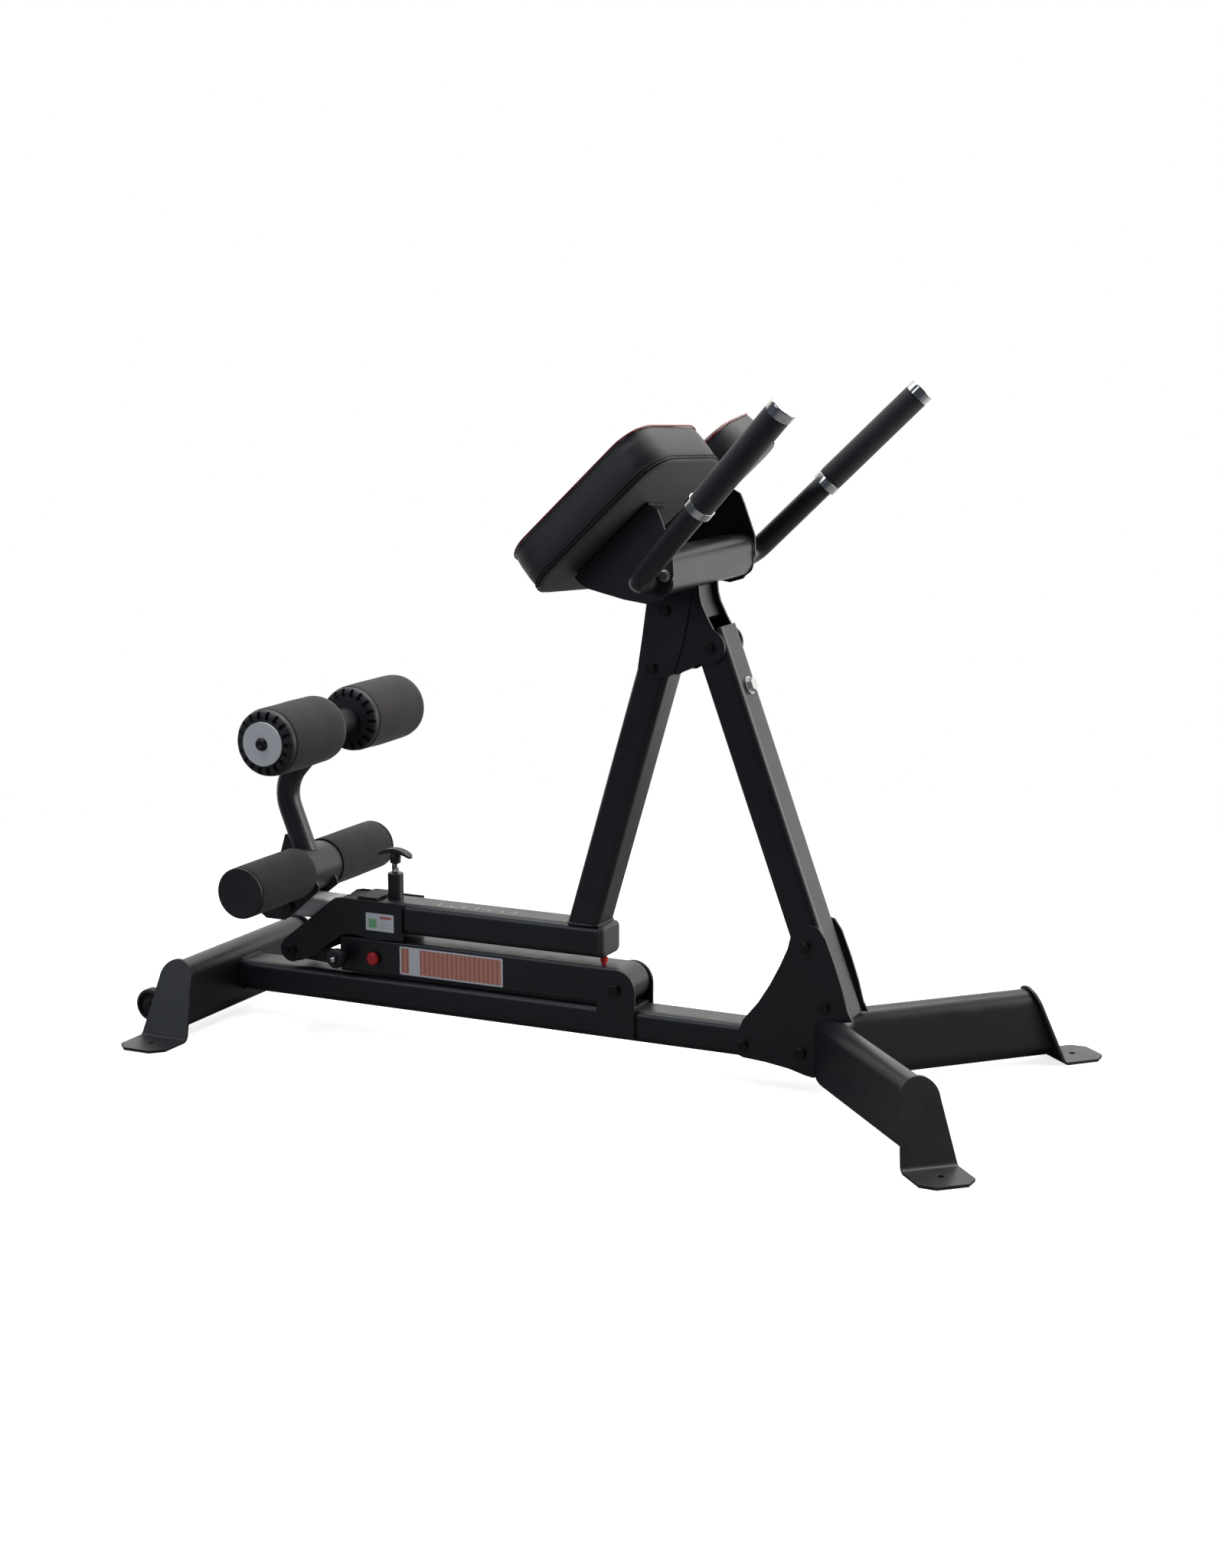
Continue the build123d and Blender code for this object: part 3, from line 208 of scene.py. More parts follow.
def zinc(name, axis, metal=0.85, lift=1.0):
    """Bright steel with streaks along one axis; lift brightens it."""
    mat = Material(name)
    stretch = tuple(2 if letter == axis else 260 for letter in "XYZ")
    mapping = mat.add("ShaderNodeMapping", {"Scale": stretch, 0: mat.coords["Object"]})
    streak = mat.noise(scale=6, detail=4, roughness=0.6, vector=mapping.outputs[0])
    soft = mat.soft_normal(radius=0.0008)
    color = mat.mottle(
        streak,
        low=(0.50 * lift, 0.50 * lift, 0.49 * lift),
        high=(0.66 * lift, 0.66 * lift, 0.65 * lift))
    rough = mat.remap(streak, target=(0.30, 0.44))
    normal = mat.bump(streak, strength=0.10, distance=0.0002, normal=soft)
    return mat.surface(color=color, metal=metal, rough=rough, normal=normal)


def disc_steel():
    """Pale steel with turning rings round the roller axle."""
    mat = Material("disc_turned_steel")
    x, _, z = mat.xyz()
    radius = mat.hypot(mat.calc("SUBTRACT", x, ROLLER_X), mat.calc("SUBTRACT", z, ROLLER_Z))
    rings = mat.wave(radius, frequency=5200.0)
    soft = mat.soft_normal(radius=0.0008)
    color = mat.mottle(rings, low=(0.76, 0.76, 0.75), high=(0.85, 0.85, 0.84), source=(-1, 1))
    stain = mat.remap(mat.noise(scale=60, detail=3), source=(0.45, 0.75), target=(0, 0.25))
    color = mat.mix(stain, color, (0.62, 0.62, 0.61))
    rough = mat.remap(mat.noise(scale=140), target=(0.28, 0.42))
    normal = mat.bump(rings, strength=0.06, distance=0.0001, normal=soft)
    return mat.surface(color=color, metal=0.0, rough=rough, normal=normal)


def chrome():
    mat = Material("chrome_trim")
    soft = mat.soft_normal(radius=0.0008)
    smear = mat.noise(scale=45, detail=4, roughness=0.65)
    color = mat.mottle(smear, low=(0.82, 0.82, 0.80), high=(0.72, 0.72, 0.71), source=(0.35, 0.7))
    rough = mat.remap(smear, source=(0.3, 0.75), target=(0.07, 0.19))
    normal = mat.bump(mat.noise(scale=260), strength=0.03, distance=0.0002, normal=soft)
    return mat.surface(color=color, metal=1.0, rough=rough, normal=normal)


def plastic(name, tint, rough):
    """Moulded plastic with a fine grain and paler edges."""
    mat = Material(name)
    soft = mat.soft_normal(radius=0.0012)
    edge = mat.edge_mask(soft)
    grain = mat.voronoi(scale=1300)
    color = mat.mottle(mat.noise(scale=25, detail=3), low=tint, high=scaled(tint, 1.5))
    color = mat.mix(mat.calc("MULTIPLY", edge, 0.35), color, scaled(tint, 3))
    rough = mat.remap(mat.noise(scale=60), target=(rough - 0.06, rough + 0.07))
    normal = mat.bump(grain, strength=0.18, distance=0.0002, normal=soft)
    return mat.surface(color=color, rough=rough, spec=0.45, normal=normal)


def rubber():
    mat = Material("wheel_rubber")
    soft = mat.soft_normal(radius=0.001)
    color = mat.mottle(
        mat.noise(scale=40, detail=4), low=(0.017, 0.017, 0.018), high=(0.03, 0.029, 0.028))
    dust = mat.remap(mat.noise(scale=16, detail=3), source=(0.55, 0.75), target=(0, 0.4))
    color = mat.mix(dust, color, (0.07, 0.066, 0.06))
    normal = mat.bump(mat.noise(scale=800), strength=0.3, distance=0.0003, normal=soft)
    return mat.surface(color=color, rough=0.62, spec=0.35, normal=normal)


def red(name, gloss, tint):
    mat = Material(name)
    color = mat.mottle(mat.noise(scale=120, detail=3), low=tint, high=scaled(tint, 1.35))
    normal = mat.bump(mat.noise(scale=900), strength=0.08 if gloss else 0.25, distance=0.0002)
    return mat.surface(
        color=color, rough=0.28 if gloss else 0.5, spec=0.5,
        coat=0.4 if gloss else 0.0, coat_rough=0.15, normal=normal)


def foam(name, shade=1.0):
    """Dark foam with open pores, the pores darkened by painted shade; shade scales its main
    colours.
    """
    mat = Material(name)
    cell = mat.voronoi(scale=900)
    pores = mat.remap(mat.voronoi(scale=520), source=(0.0, 0.34))
    fine = mat.noise(scale=1700, roughness=0.6)
    cloud = mat.noise(scale=14, detail=4, roughness=0.6)
    color = mat.mottle(
        cloud,
        low=scaled((0.016, 0.0142, 0.0132), shade),
        high=scaled((0.026, 0.0232, 0.0212), shade))
    # painted shade: the colour darkens in the pores, where the relief is lowest
    painted_pore_shade = mat.remap(pores, source=(0.0, 0.55), target=(0.55, 0.0))
    color = mat.mix(painted_pore_shade, color, (0.0065, 0.006, 0.0057))
    dust = mat.remap(mat.noise(scale=48, detail=3), source=(0.56, 0.74), target=(0, 0.25))
    color = mat.mix(dust, color, (0.042, 0.038, 0.034))
    # relief: weighted sum of pores, cells and fine noise
    small = mat.calc(
        "ADD", mat.calc("MULTIPLY", cell, 0.5), mat.calc("MULTIPLY", fine, 0.35))
    height = mat.calc("ADD", mat.calc("MULTIPLY", pores, 0.6), small)
    normal = mat.bump(height, strength=0.45, distance=0.0006)
    return mat.surface(
        color=color, rough=0.86, spec=0.20, sheen=0.12, sheen_rough=0.55, normal=normal)


def vinyl(name, low, high):
    """Leather grain: warped cells with creases darkened by painted shade."""
    mat = Material(name)
    warp = mat.noise(scale=90).node.outputs["Color"]
    amount = (0.004, 0.004, 0.004)
    warped = mat.add(
        "ShaderNodeVectorMath", {0: warp, 1: amount, 2: mat.coords["Object"]},
        operation="MULTIPLY_ADD")
    cells = mat.voronoi(scale=560, feature="DISTANCE_TO_EDGE", vector=warped.outputs[0])
    grain = mat.remap(cells, source=(0.0, 0.13))
    fine = mat.noise(scale=1400)
    color = mat.mottle(mat.noise(scale=9, detail=3), low=low, high=high)
    # painted shade: the colour darkens in the grain's creases, where the relief is lowest
    painted_crease_shade = mat.remap(grain, source=(0.0, 0.6), target=(0.5, 0.0))
    color = mat.mix(painted_crease_shade, color, (0.008, 0.008, 0.009))
    rough = mat.remap(grain, source=(0, 1), target=(0.60, 0.43))
    # relief: weighted sum of grain and fine noise
    height = mat.calc(
        "ADD", mat.calc("MULTIPLY", grain, 1.0), mat.calc("MULTIPLY", fine, 0.25))
    normal = mat.bump(height, strength=0.28, distance=0.0004)
    return mat.surface(
        color=color, rough=rough, spec=0.45, sheen=0.12, sheen_rough=0.4, normal=normal)


def grip_rubber():
    """Rubber with a fine woven relief."""
    mat = Material("grip_rubber")
    wave_x, wave_z, wave_y = (mat.wave(mat.xyz()[axis], frequency=2600.0) for axis in (0, 2, 1))
    weave = mat.calc(
        "ADD", mat.calc("MULTIPLY", wave_x, wave_z), mat.calc("MULTIPLY", wave_y, 0.5))
    color = mat.mottle(
        mat.noise(scale=22, detail=3), low=(0.0185, 0.0195, 0.0235), high=(0.027, 0.028, 0.032))
    dust = mat.remap(mat.noise(scale=110, detail=3), source=(0.6, 0.75), target=(0, 0.3))
    color = mat.mix(dust, color, (0.05, 0.05, 0.052))
    normal = mat.bump(weave, strength=0.05, distance=0.0002)
    return mat.surface(color=color, rough=0.68, spec=0.35, sheen=0.15, normal=normal)


def label_surface(mat, color, fibre):
    normal = mat.bump(fibre, strength=0.05, distance=0.0001)
    return mat.surface(
        color=color, rough=0.35, spec=0.45, coat=0.3, coat_rough=0.2, normal=normal)


def label_main():
    """White border, terracotta field with plain vertical bars, and a white block."""
    mat = Material("label_generic_scale")
    x, _, z = mat.xyz()
    bars = mat.calc("GREATER_THAN", mat.wave(x, frequency=700.0), 0.45)
    fibre = mat.noise(scale=420, detail=3)
    field = mat.mottle(fibre, low=(0.80, 0.31, 0.22), high=(0.88, 0.38, 0.28))
    field = mat.mix(mat.calc("MULTIPLY", bars, 0.6), field, (0.40, 0.14, 0.10))
    inside, block = (
        mat.calc("MULTIPLY", mat.band(x, low, high), mat.band(z, -0.0225, 0.0225))
        for low, high in ((-0.0995, 0.0995), (-0.084, -0.062)))
    white = mat.mottle(fibre, low=(0.86, 0.86, 0.88), high=(0.92, 0.92, 0.93))
    color = mat.mix(inside, white, field)
    color = mat.mix(block, color, white)
    return label_surface(mat, color, fibre)


def label_small():
    """White with a green patch, a red bar and faint grey lines."""
    mat = Material("label_generic_small")
    x, _, z = mat.xyz()
    fibre = mat.noise(scale=500, detail=3)
    color = mat.mottle(fibre, low=(0.86, 0.87, 0.89), high=(0.92, 0.93, 0.94))
    green = mat.calc("MULTIPLY", mat.band(x, -0.0225, -0.0065), mat.band(z, -0.0105, 0.0055))
    bar = mat.calc("MULTIPLY", mat.band(x, 0.000, 0.0235), mat.band(z, 0.0065, 0.0115))
    stripes = mat.calc("GREATER_THAN", mat.wave(z, frequency=1900.0), 0.3)
    lines = mat.calc("MULTIPLY", mat.band(x, 0.001, 0.0225), stripes)
    lines = mat.calc("MULTIPLY", lines, mat.band(z, -0.0115, 0.0035))
    # mask, opacity, colour
    for mask, opacity, ink in (
        (green, 0.9, (0.22, 0.66, 0.25)),
        (bar, 0.85, (0.70, 0.10, 0.08)),
        (lines, 0.35, (0.40, 0.41, 0.43)),
    ):
        color = mat.mix(mat.calc("MULTIPLY", mask, opacity), color, ink)
    return label_surface(mat, color, fibre)


def mark_paint():
    mat = Material("mark_paint")
    worn = mat.noise(scale=300, detail=4, roughness=0.7)
    color = mat.mottle(worn, low=(0.52, 0.52, 0.50), high=(0.30, 0.30, 0.29), source=(0.4, 0.65))
    normal = mat.bump(worn, strength=0.1, distance=0.0001)
    return mat.surface(color=color, rough=0.5, normal=normal)


MATERIALS = {
    "frame": powder_coat(),
    "bolt": bolt_black(),
    "zinc_x": zinc("zinc_steel_x", axis="X", metal=0.3),
    "zinc_slider": zinc("zinc_steel_x_plated", axis="X", metal=0.2, lift=1.3),
    "zinc_y": zinc("zinc_steel_y", axis="Y"),
    "disc": disc_steel(),
    "chrome": chrome(),
    "plastic": plastic("moulded_plastic_black", tint=(0.016, 0.0165, 0.019), rough=0.5),
    "cap": plastic("end_cap_plastic", tint=(0.035, 0.034, 0.033), rough=0.55),
    "rubber": rubber(),
    "red_rubber": red("bumper_red_rubber", gloss=False, tint=(0.44, 0.012, 0.014)),
    "red_plastic": red("button_red_plastic", gloss=True, tint=(0.62, 0.012, 0.016)),
    "piping": red("piping_red_vinyl", gloss=True, tint=(0.15, 0.008, 0.011)),
    "foam": foam("closed_cell_foam"),
    "foam_low": foam("closed_cell_foam_low", shade=0.8),
    "vinyl": vinyl("pad_vinyl", low=(0.0145, 0.0145, 0.0175), high=(0.021, 0.0205, 0.023)),
    # lighter, warmer copy of the pad vinyl: painted light on the pad backs
    "vinyl_back": vinyl("pad_vinyl_painted_light_back", low=(0.024, 0.0215, 0.0195), high=(0.034, 0.031, 0.028)),
    "grip": grip_rubber(),
    "label": label_main(),
    "label_small": label_small(),
    "mark": mark_paint(),
    "thread": plastic("seam_thread", tint=(0.02, 0.019, 0.019), rough=0.7),
}

CAD_PIECES = {
    "frame": [
        "base_tube", "rear_stabiliser", "front_stabiliser", "rear_feet", "front_feet",
        "clevis_bracket", "gusset_plates", "upright_tube", "wheel_brackets", "leg_tube",
        "arm_tube", "casing_plates", "hinge_cheeks", "head_web", "crosstube",
        "pad_bracket_left", "pad_bracket_right", "handlebar_left", "handlebar_right",
        "pin_barrel", "roller_bracket", "lower_roller_tube", "ankle_post", "prop_outer",
        "prop_inner", "knob_housing"],
    "bolt": [
        "gusset_bolts", "prop_pivot_bolt", "leg_bolts", "pivot_bolt", "bracket_bolt",
        "prop_end_screws", "wheel_axles", "pad_screws"],
    "zinc_x": ["stop_bolt"],
    "zinc_slider": ["slider_tube"],
    "zinc_y": ["upper_axle"],
    "disc": ["end_discs"],
    "chrome": ["grip_trims", "handle_bolts"],
    "plastic": [
        "hinge_bushes", "slide_liner", "prop_slides", "roller_hubs_left",
        "roller_hubs_right", "lower_caps", "prop_knob", "pull_pin"],
    "cap": ["arm_end_cap"],
    "rubber": ["wheel_left", "wheel_right"],
    "red_rubber": ["bumper"],
    "red_plastic": ["red_button"],
    "foam": ["lower_foams", "roller_foam_left", "roller_foam_right"],
    "vinyl": ["hip_pad_left", "hip_pad_right"],
    "vinyl_back": ["pad_boards"],
    "grip": ["grips"],
}
for material_key, piece_names in CAD_PIECES.items():
    for piece_name in piece_names:
        slots = nodes[piece_name].data.materials
        slots.clear()
        slots.append(MATERIALS[material_key])


# ------------------------------------------------------------------ mesh helpers
def new_object(name, points, faces, material, smooth=True):
    mesh = bpy.data.meshes.new(name)
    mesh.from_pydata([tuple(point) for point in points], [], faces)
    mesh.validate()
    work = bmesh.new()
    work.from_mesh(mesh)
    bmesh.ops.recalc_face_normals(work, faces=work.faces)
    work.to_mesh(mesh)
    work.free()
    for polygon in mesh.polygons:
        polygon.use_smooth = smooth
    mesh.materials.append(MATERIALS[material] if isinstance(material, str) else material)
    obj = bpy.data.objects.new(name, mesh)
    scene.collection.objects.link(obj)
    return obj


def attach(obj, body, replaces=None):
    if replaces:
        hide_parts(replaces)
    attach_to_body(obj, body)


def subdivide(obj):
    modifier = obj.modifiers.new("subdivision", "SUBSURF")
    modifier.levels = 1
    modifier.render_levels = 1


def torus_faces(rings, sides):
    """Quads over closed rings that themselves follow a closed loop."""
    faces = []
    for i in range(rings):
        here = i * sides
        after = (i + 1) % rings * sides
        for j in range(sides):
            side = (j + 1) % sides
            faces.append((here + j, here + side, after + side, after + j))
    return faces


def spokes(direction, segments):
    """Unit axis, and (angle, unit radius) for each segment round it."""
    axis = Vector(direction).normalized()
    first = axis.orthogonal().normalized()
    second = axis.cross(first).normalized()
    angles = [2 * math.pi * i / segments for i in range(segments)]
    return axis, [(a, first * math.cos(a) + second * math.sin(a)) for a in angles]


def revolve(name, origin, direction, profile, material, segments, wobble=None):
    """Ring solid from a closed profile of (radius, distance along the axis)."""
    origin = Vector(origin)
    axis, around = spokes(direction, segments)
    points = []
    for angle, outward in around:
        for radius, along in profile:
            swell = wobble(angle, radius, along) if wobble else 0.0
            points.append(origin + outward * (radius + swell) + axis * along)
    return new_object(name, points, torus_faces(segments, len(profile)), material)


def lathe_solid(name, origin, direction, profile, material, segments):
    """Solid from a profile of (radius, distance along) whose two ends lie on the axis."""
    origin = Vector(origin)
    axis, around = spokes(direction, segments)
    middle = profile[1:-1]
    count = len(middle)
    points = [origin + axis * profile[0][1]]
    for _, outward in around:
        points += [origin + outward * radius + axis * along for radius, along in middle]
    last = len(points)
    points.append(origin + axis * profile[-1][1])
    faces = []
    for i in range(segments):
        here = 1 + i * count
        after = 1 + (i + 1) % segments * count
        faces.append((0, here, after))
        for j in range(count - 1):
            faces.append((here + j, here + j + 1, after + j + 1, after + j))
        faces.append((here + count - 1, last, after + count - 1))
    return new_object(name, points, faces, material)


def rope(name, path, radius, material, sides, ripple=None):
    """Tube along a closed path; ripple(i) is the relative swelling at point i."""
    path = [Vector(point) for point in path]
    count = len(path)
    centre = sum(path, Vector()) / count
    normal = Vector()
    for i in range(count):
        normal += (path[i] - centre).cross(path[(i + 1) % count] - centre)
    normal.normalize()
    points = []
    for i, point in enumerate(path):
        tangent = (path[(i + 1) % count] - path[i - 1]).normalized()
        side = tangent.cross(normal).normalized()
        up = side.cross(tangent).normalized()
        swollen = radius * (1 + (ripple(i) if ripple else 0.0))
        for j in range(sides):
            angle = 2 * math.pi * j / sides
            points.append(
                point + side * math.cos(angle) * swollen + up * math.sin(angle) * swollen)
    return new_object(name, points, torus_faces(count, sides), material)


def stacked_solid(name, rings, first_centre, last_centre, material):
    """Solid skinned over rings of equal count, closed by a fan at each end."""
    count = len(rings[0])
    points = [point for ring in rings for point in ring] + [first_centre, last_centre]
    first, last = len(points) - 2, len(points) - 1
    faces = []
    for j in range(len(rings) - 1):
        for i in range(count):
            here, after = j * count + i, j * count + (i + 1) % count
            faces.append((here, after, after + count, here + count))
    top = (len(rings) - 1) * count
    for i in range(count):
        faces.append((first, (i + 1) % count, i))
        faces.append((last, top + i, top + (i + 1) % count))
    return new_object(name, points, faces, material)


def arc(x, y, radius, start, end, steps):
    """Points of an arc; start and end in degrees."""
    angles = [math.radians(start + (end - start) * i / steps) for i in range(steps + 1)]
    return [(x + radius * math.cos(a), y + radius * math.sin(a)) for a in angles]


def rounded_rect(width, height, radius, steps):
    x, y = width / 2 - radius, height / 2 - radius
    corners = ((x, y, 0), (-x, y, 90), (-x, -y, 180), (x, -y, 270))
    return [point for cx, cy, start in corners
            for point in arc(cx, cy, radius, start, start + 90, steps)]


def fill_in(points, step):
    """Split the sides of a closed 2D outline into pieces of about one step."""
    ring = []
    for i, here in enumerate(points):
        after = points[(i + 1) % len(points)]
        count = max(1, int((after - here).length / step))
        ring += [here + (after - here) * j / count for j in range(count)]
    return ring


# ------------------------------------------------------------------ hip pads
PITCH = math.radians(43.6)  # rise of the pad length towards +X
CANT = math.radians(8.7)  # tilt of each pad towards the middle plane
PAD_LENGTH, PAD_WIDTH, PAD_THICK = 0.322, 0.213, 0.0706
BOARD_THICK = 0.0044
PAD_FACE = (0.0664 + SHIFT_X, 0.1341, 0.9835)  # centre of the left pad's face
PAD_RADIUS = 0.054  # outline corners
PAD_SKEW = 0.0094  # half the shift along the length between the two long edges
SEAM_INSET = 0.0015
DOME = 0.006  # crown given to the face before the cover settles
MAX_SETTLE = 0.007  # furthest a cloth point may move
CLOTH_FRAMES = 20
CLOTH_SETTINGS = {
    "quality": 6,
    "mass": 0.35,
    "tension_stiffness": 25,
    "compression_stiffness": 25,
    "shear_stiffness": 10,
    "bending_stiffness": 0.6,
    "use_pressure": True,
    "uniform_pressure_force": 4.0,
    "pin_stiffness": 1.0,
}
# height from the face along the pad normal, inset of the outline
CUSHION_LAYERS = [
    (-PAD_THICK, 0.006), (-PAD_THICK + 0.004, 0.0015), (-PAD_THICK + 0.02, 0.0),
    (-PAD_THICK / 2, 0.0), (-0.02, 0.0), (-0.004, 0.0012), (0.0, 0.006),
]
BOARD_BACK = -PAD_THICK - BOARD_THICK
# the same columns for the covered board behind the pad
BOARD_LAYERS = [
    (-PAD_THICK - 0.0002, 0.0022), (-PAD_THICK - 0.0012, 0.0020),
    (-PAD_THICK - 0.0024, 0.0028), (-PAD_THICK - 0.0036, 0.0050),
    (BOARD_BACK + 0.0001, 0.0095), (BOARD_BACK + 0.0001, 0.030), (BOARD_BACK + 0.0002, 0.062),
]
BACK_SEAMS = (("", 0.0012), ("_second", 0.0058))  # name part, height over the cushion's back


def pad_axes(sign):
    """Face centre, then unit vectors along the length, across (towards +Y) and out."""
    along = Vector((math.cos(PITCH), 0, math.sin(PITCH)))
    out = Vector((
        -math.sin(PITCH) * math.cos(CANT),
        -sign * math.sin(CANT),
        math.cos(PITCH) * math.cos(CANT)))
    centre = Vector((PAD_FACE[0], sign * PAD_FACE[1], PAD_FACE[2]))
    return centre, along, out.cross(along), out


def pad_ring(axes, outline, height):
    """Place 2D outline points at a height over the pad's face."""
    centre, along, across, out = axes
    return [centre + along * x + across * y + out * height for x, y in outline]


def pad_outline(sign, inset, radius, step=0.0025):
    """Evenly spaced points (along, across) of the skewed, rounded outline."""
    length, width = PAD_LENGTH / 2 - inset, PAD_WIDTH / 2 - inset
    corners = [
        (length - PAD_SKEW, sign * width), (-length - PAD_SKEW, sign * width),
        (-length + PAD_SKEW, -sign * width), (length + PAD_SKEW, -sign * width)]
    points = []
    for i in range(4):
        corner = Vector(corners[i])
        before = (Vector(corners[i - 1]) - corner).normalized()
        after = (Vector(corners[(i + 1) % 4]) - corner).normalized()
        half = before.angle(after) / 2
        cut = radius / math.tan(half)
        centre = corner + (before + after).normalized() * (radius / math.sin(half))
        first = corner + before * cut - centre
        last = corner + after * cut - centre
        start = math.atan2(first.y, first.x)
        turn = math.atan2(last.y, last.x) - start
        turn = (turn + math.pi) % (2 * math.pi) - math.pi
        for j in range(17):
            angle = start + turn * j / 16
            points.append(centre + Vector((math.cos(angle), math.sin(angle))) * radius)
    return fill_in(points, step)


def get_points(mesh):
    return np.array([vertex.co for vertex in mesh.vertices], float)


def set_points(mesh, points):
    mesh.vertices.foreach_set("co", points.astype(np.float32).ravel())
    mesh.update()


def simulate(obj, pin_group):
    """Inflate the cover as cloth; returns its points before and after."""
    modifier = obj.modifiers.new("cloth", "CLOTH")
    for name, value in CLOTH_SETTINGS.items():
        setattr(modifier.settings, name, value)
    modifier.settings.vertex_group_mass = pin_group
    modifier.settings.effector_weights.gravity = 0.0
    modifier.collision_settings.use_collision = False
    modifier.collision_settings.use_self_collision = False
    modifier.point_cache.frame_start = 1
    modifier.point_cache.frame_end = CLOTH_FRAMES
    before = get_points(obj.data)
    for i in range(1, CLOTH_FRAMES + 1):
        scene.frame_set(i)
    settled = obj.evaluated_get(bpy.context.evaluated_depsgraph_get())
    after = get_points(settled.data)
    obj.modifiers.remove(modifier)
    scene.frame_set(1)
    return before, after


def cushion_body(name, sign, axes):
    """Closed cushion, remeshed into even faces."""
    outlines = [pad_outline(sign, inset, PAD_RADIUS - inset) for _, inset in CUSHION_LAYERS]
    count = min(len(outline) for outline in outlines)
    rings = []
    for (height, _), outline in zip(CUSHION_LAYERS, outlines):
        even = [outline[int(i * len(outline) / count)] for i in range(count)]
        rings.append(pad_ring(axes, even, height))
    low, high = (pad_ring(axes, [(0, 0)], height)[0] for height in (-PAD_THICK, 0.0))
    obj = stacked_solid(name, rings, low, high, "vinyl")
    remesh = obj.modifiers.new("remesh", "REMESH")
    remesh.mode = "VOXEL"
    remesh.voxel_size = 0.005
    depsgraph = bpy.context.evaluated_depsgraph_get()
    mesh = bpy.data.meshes.new_from_object(obj.evaluated_get(depsgraph))
    obj.modifiers.clear()
    coarse = obj.data
    obj.data = mesh
    bpy.data.meshes.remove(coarse)
    return obj


def settle_cover(obj, sign, axes):
    """Crown the face and swell the cover between its pinned seams."""
    centre, along, across, out = (np.array(axis) for axis in axes)
    points = get_points(obj.data)
    x, y, height = ((points - centre) @ axis for axis in (along, across, out))
    seam = pad_outline(sign, SEAM_INSET, PAD_RADIUS)
    tree = kdtree.KDTree(len(seam))
    for i, point in enumerate(seam):
        tree.insert((point.x, point.y, 0), i)
    tree.balance()
    to_seam = np.array([tree.find((a, b, 0))[2] for a, b in zip(x, y)])

    pinned = (height < -PAD_THICK + 0.005) | ((height > -0.0065) & (to_seam < 0.0065))
    group = obj.vertex_groups.new(name="pin")
    group.add([int(i) for i in np.nonzero(pinned)[0]], 1.0, "REPLACE")

    dome_x = np.clip(1 - (x / (PAD_LENGTH / 2)) ** 2, 0, 1) ** 0.5
    dome_y = np.clip(1 - (y / (PAD_WIDTH / 2)) ** 2, 0, 1) ** 0.5
    near_face = np.clip((height + 0.012) / 0.012, 0, 1)
    dome = near_face * dome_x * dome_y
    start = points + np.outer(dome * DOME, out)
    set_points(obj.data, start)
    before, after = simulate(obj, group.name)
    move = after - before
    size = np.linalg.norm(move, axis=1)
    limit = np.where(size > MAX_SETTLE, MAX_SETTLE / np.maximum(size, 1e-9), 1.0)
    final = before + move * limit[:, None]
    set_points(obj.data, final)
    obj.vertex_groups.clear()


def make_pad(side, sign):
    axes = pad_axes(sign)
    cushion = cushion_body("hip_cushion_" + side, sign, axes)
    settle_cover(cushion, sign, axes)
    for polygon in cushion.data.polygons:
        polygon.use_smooth = True
    smooth = cushion.modifiers.new("smooth", "SMOOTH")
    smooth.factor = 0.5
    smooth.iterations = 3
    subdivide(cushion)
    attach(cushion, "swing_frame", replaces="hip_pad_" + side)

    # red piping round the face
    outline = pad_outline(sign, SEAM_INSET - 0.0006, PAD_RADIUS, step=0.003)
    path = pad_ring(axes, outline, -0.0030)
    piping = rope("red_piping_" + side, path, radius=0.0016, material="piping", sides=12)
    attach(piping, "swing_frame")

    # two narrow sewn lines at the cushion's back
    outline = pad_outline(sign, 0.0007, PAD_RADIUS, step=0.003)
    for tag, rise in BACK_SEAMS:
        seam = rope(
            "back_seam" + tag + "_" + side, pad_ring(axes, outline, -PAD_THICK + rise),
            radius=0.0012, material="thread", sides=8, ripple=lambda i: 0.18 * math.sin(i * 1.9))
        attach(seam, "swing_frame")


def make_board(side, sign):
    """Covered board behind a pad, with a rounded edge."""
    axes = pad_axes(sign)
    outline = pad_outline(sign, 0.0, PAD_RADIUS, step=0.004)
    rings = []
    for height, inset in BOARD_LAYERS:
        shrink_x = 1 - inset / (PAD_LENGTH / 2)
        shrink_y = 1 - inset / (PAD_WIDTH / 2)
        rings.append(pad_ring(axes, [(x * shrink_x, y * shrink_y) for x, y in outline], height))
    ends = (pad_ring(axes, [(0, 0)], BOARD_LAYERS[i][0])[0] for i in (0, -1))
    # the back's lighter, warmer vinyl is painted light
    board = stacked_solid("pad_back_" + side, rings, *ends, "vinyl_back")
    subdivide(board)
    attach(board, "swing_frame", replaces="pad_boards")


for side, sign in SIDES:
    make_pad(side, sign)
for side, sign in SIDES:
    make_board(side, sign)


# ------------------------------------------------------------------ foam rollers
def foam_profile(inner, outer, near, far, rounding, crown):
    """Closed (radius, along) section with rounded outer corners and a crowned outside."""
    flat = outer - rounding
    mid = inner + 0.3 * (flat - inner)
    profile = [(inner, near), (mid, near), (flat, near)]
    profile += arc(flat, near + rounding, rounding, -90, 0, steps=7)[1:]
    for i in range(1, 14):
        part = i / 14
        along = near + rounding + (far - near - 2 * rounding) * part
        profile.append((outer + crown * math.sin(math.pi * part), along))
    profile += arc(flat, far - rounding, rounding, 0, 90, steps=7)
    profile += [(mid, far), (inner, far)]
    profile += [(inner, near + (far - near) * part) for part in (0.75, 0.5, 0.25)]
    return profile


def soft_wobble(seed, size):
    """Slight unevenness of every radius over 31 mm."""
    def wobble(angle, radius, along):
        wave = (
            math.sin(3 * angle + seed + 31 * along) * 0.5
            + math.sin(5 * angle - 1.7 * seed + 57 * along) * 0.35
            + math.sin(2 * angle + 90 * along + seed * 2.2) * 0.3)
        return size * wave * (1 if radius > 0.031 else 0)
    return wobble


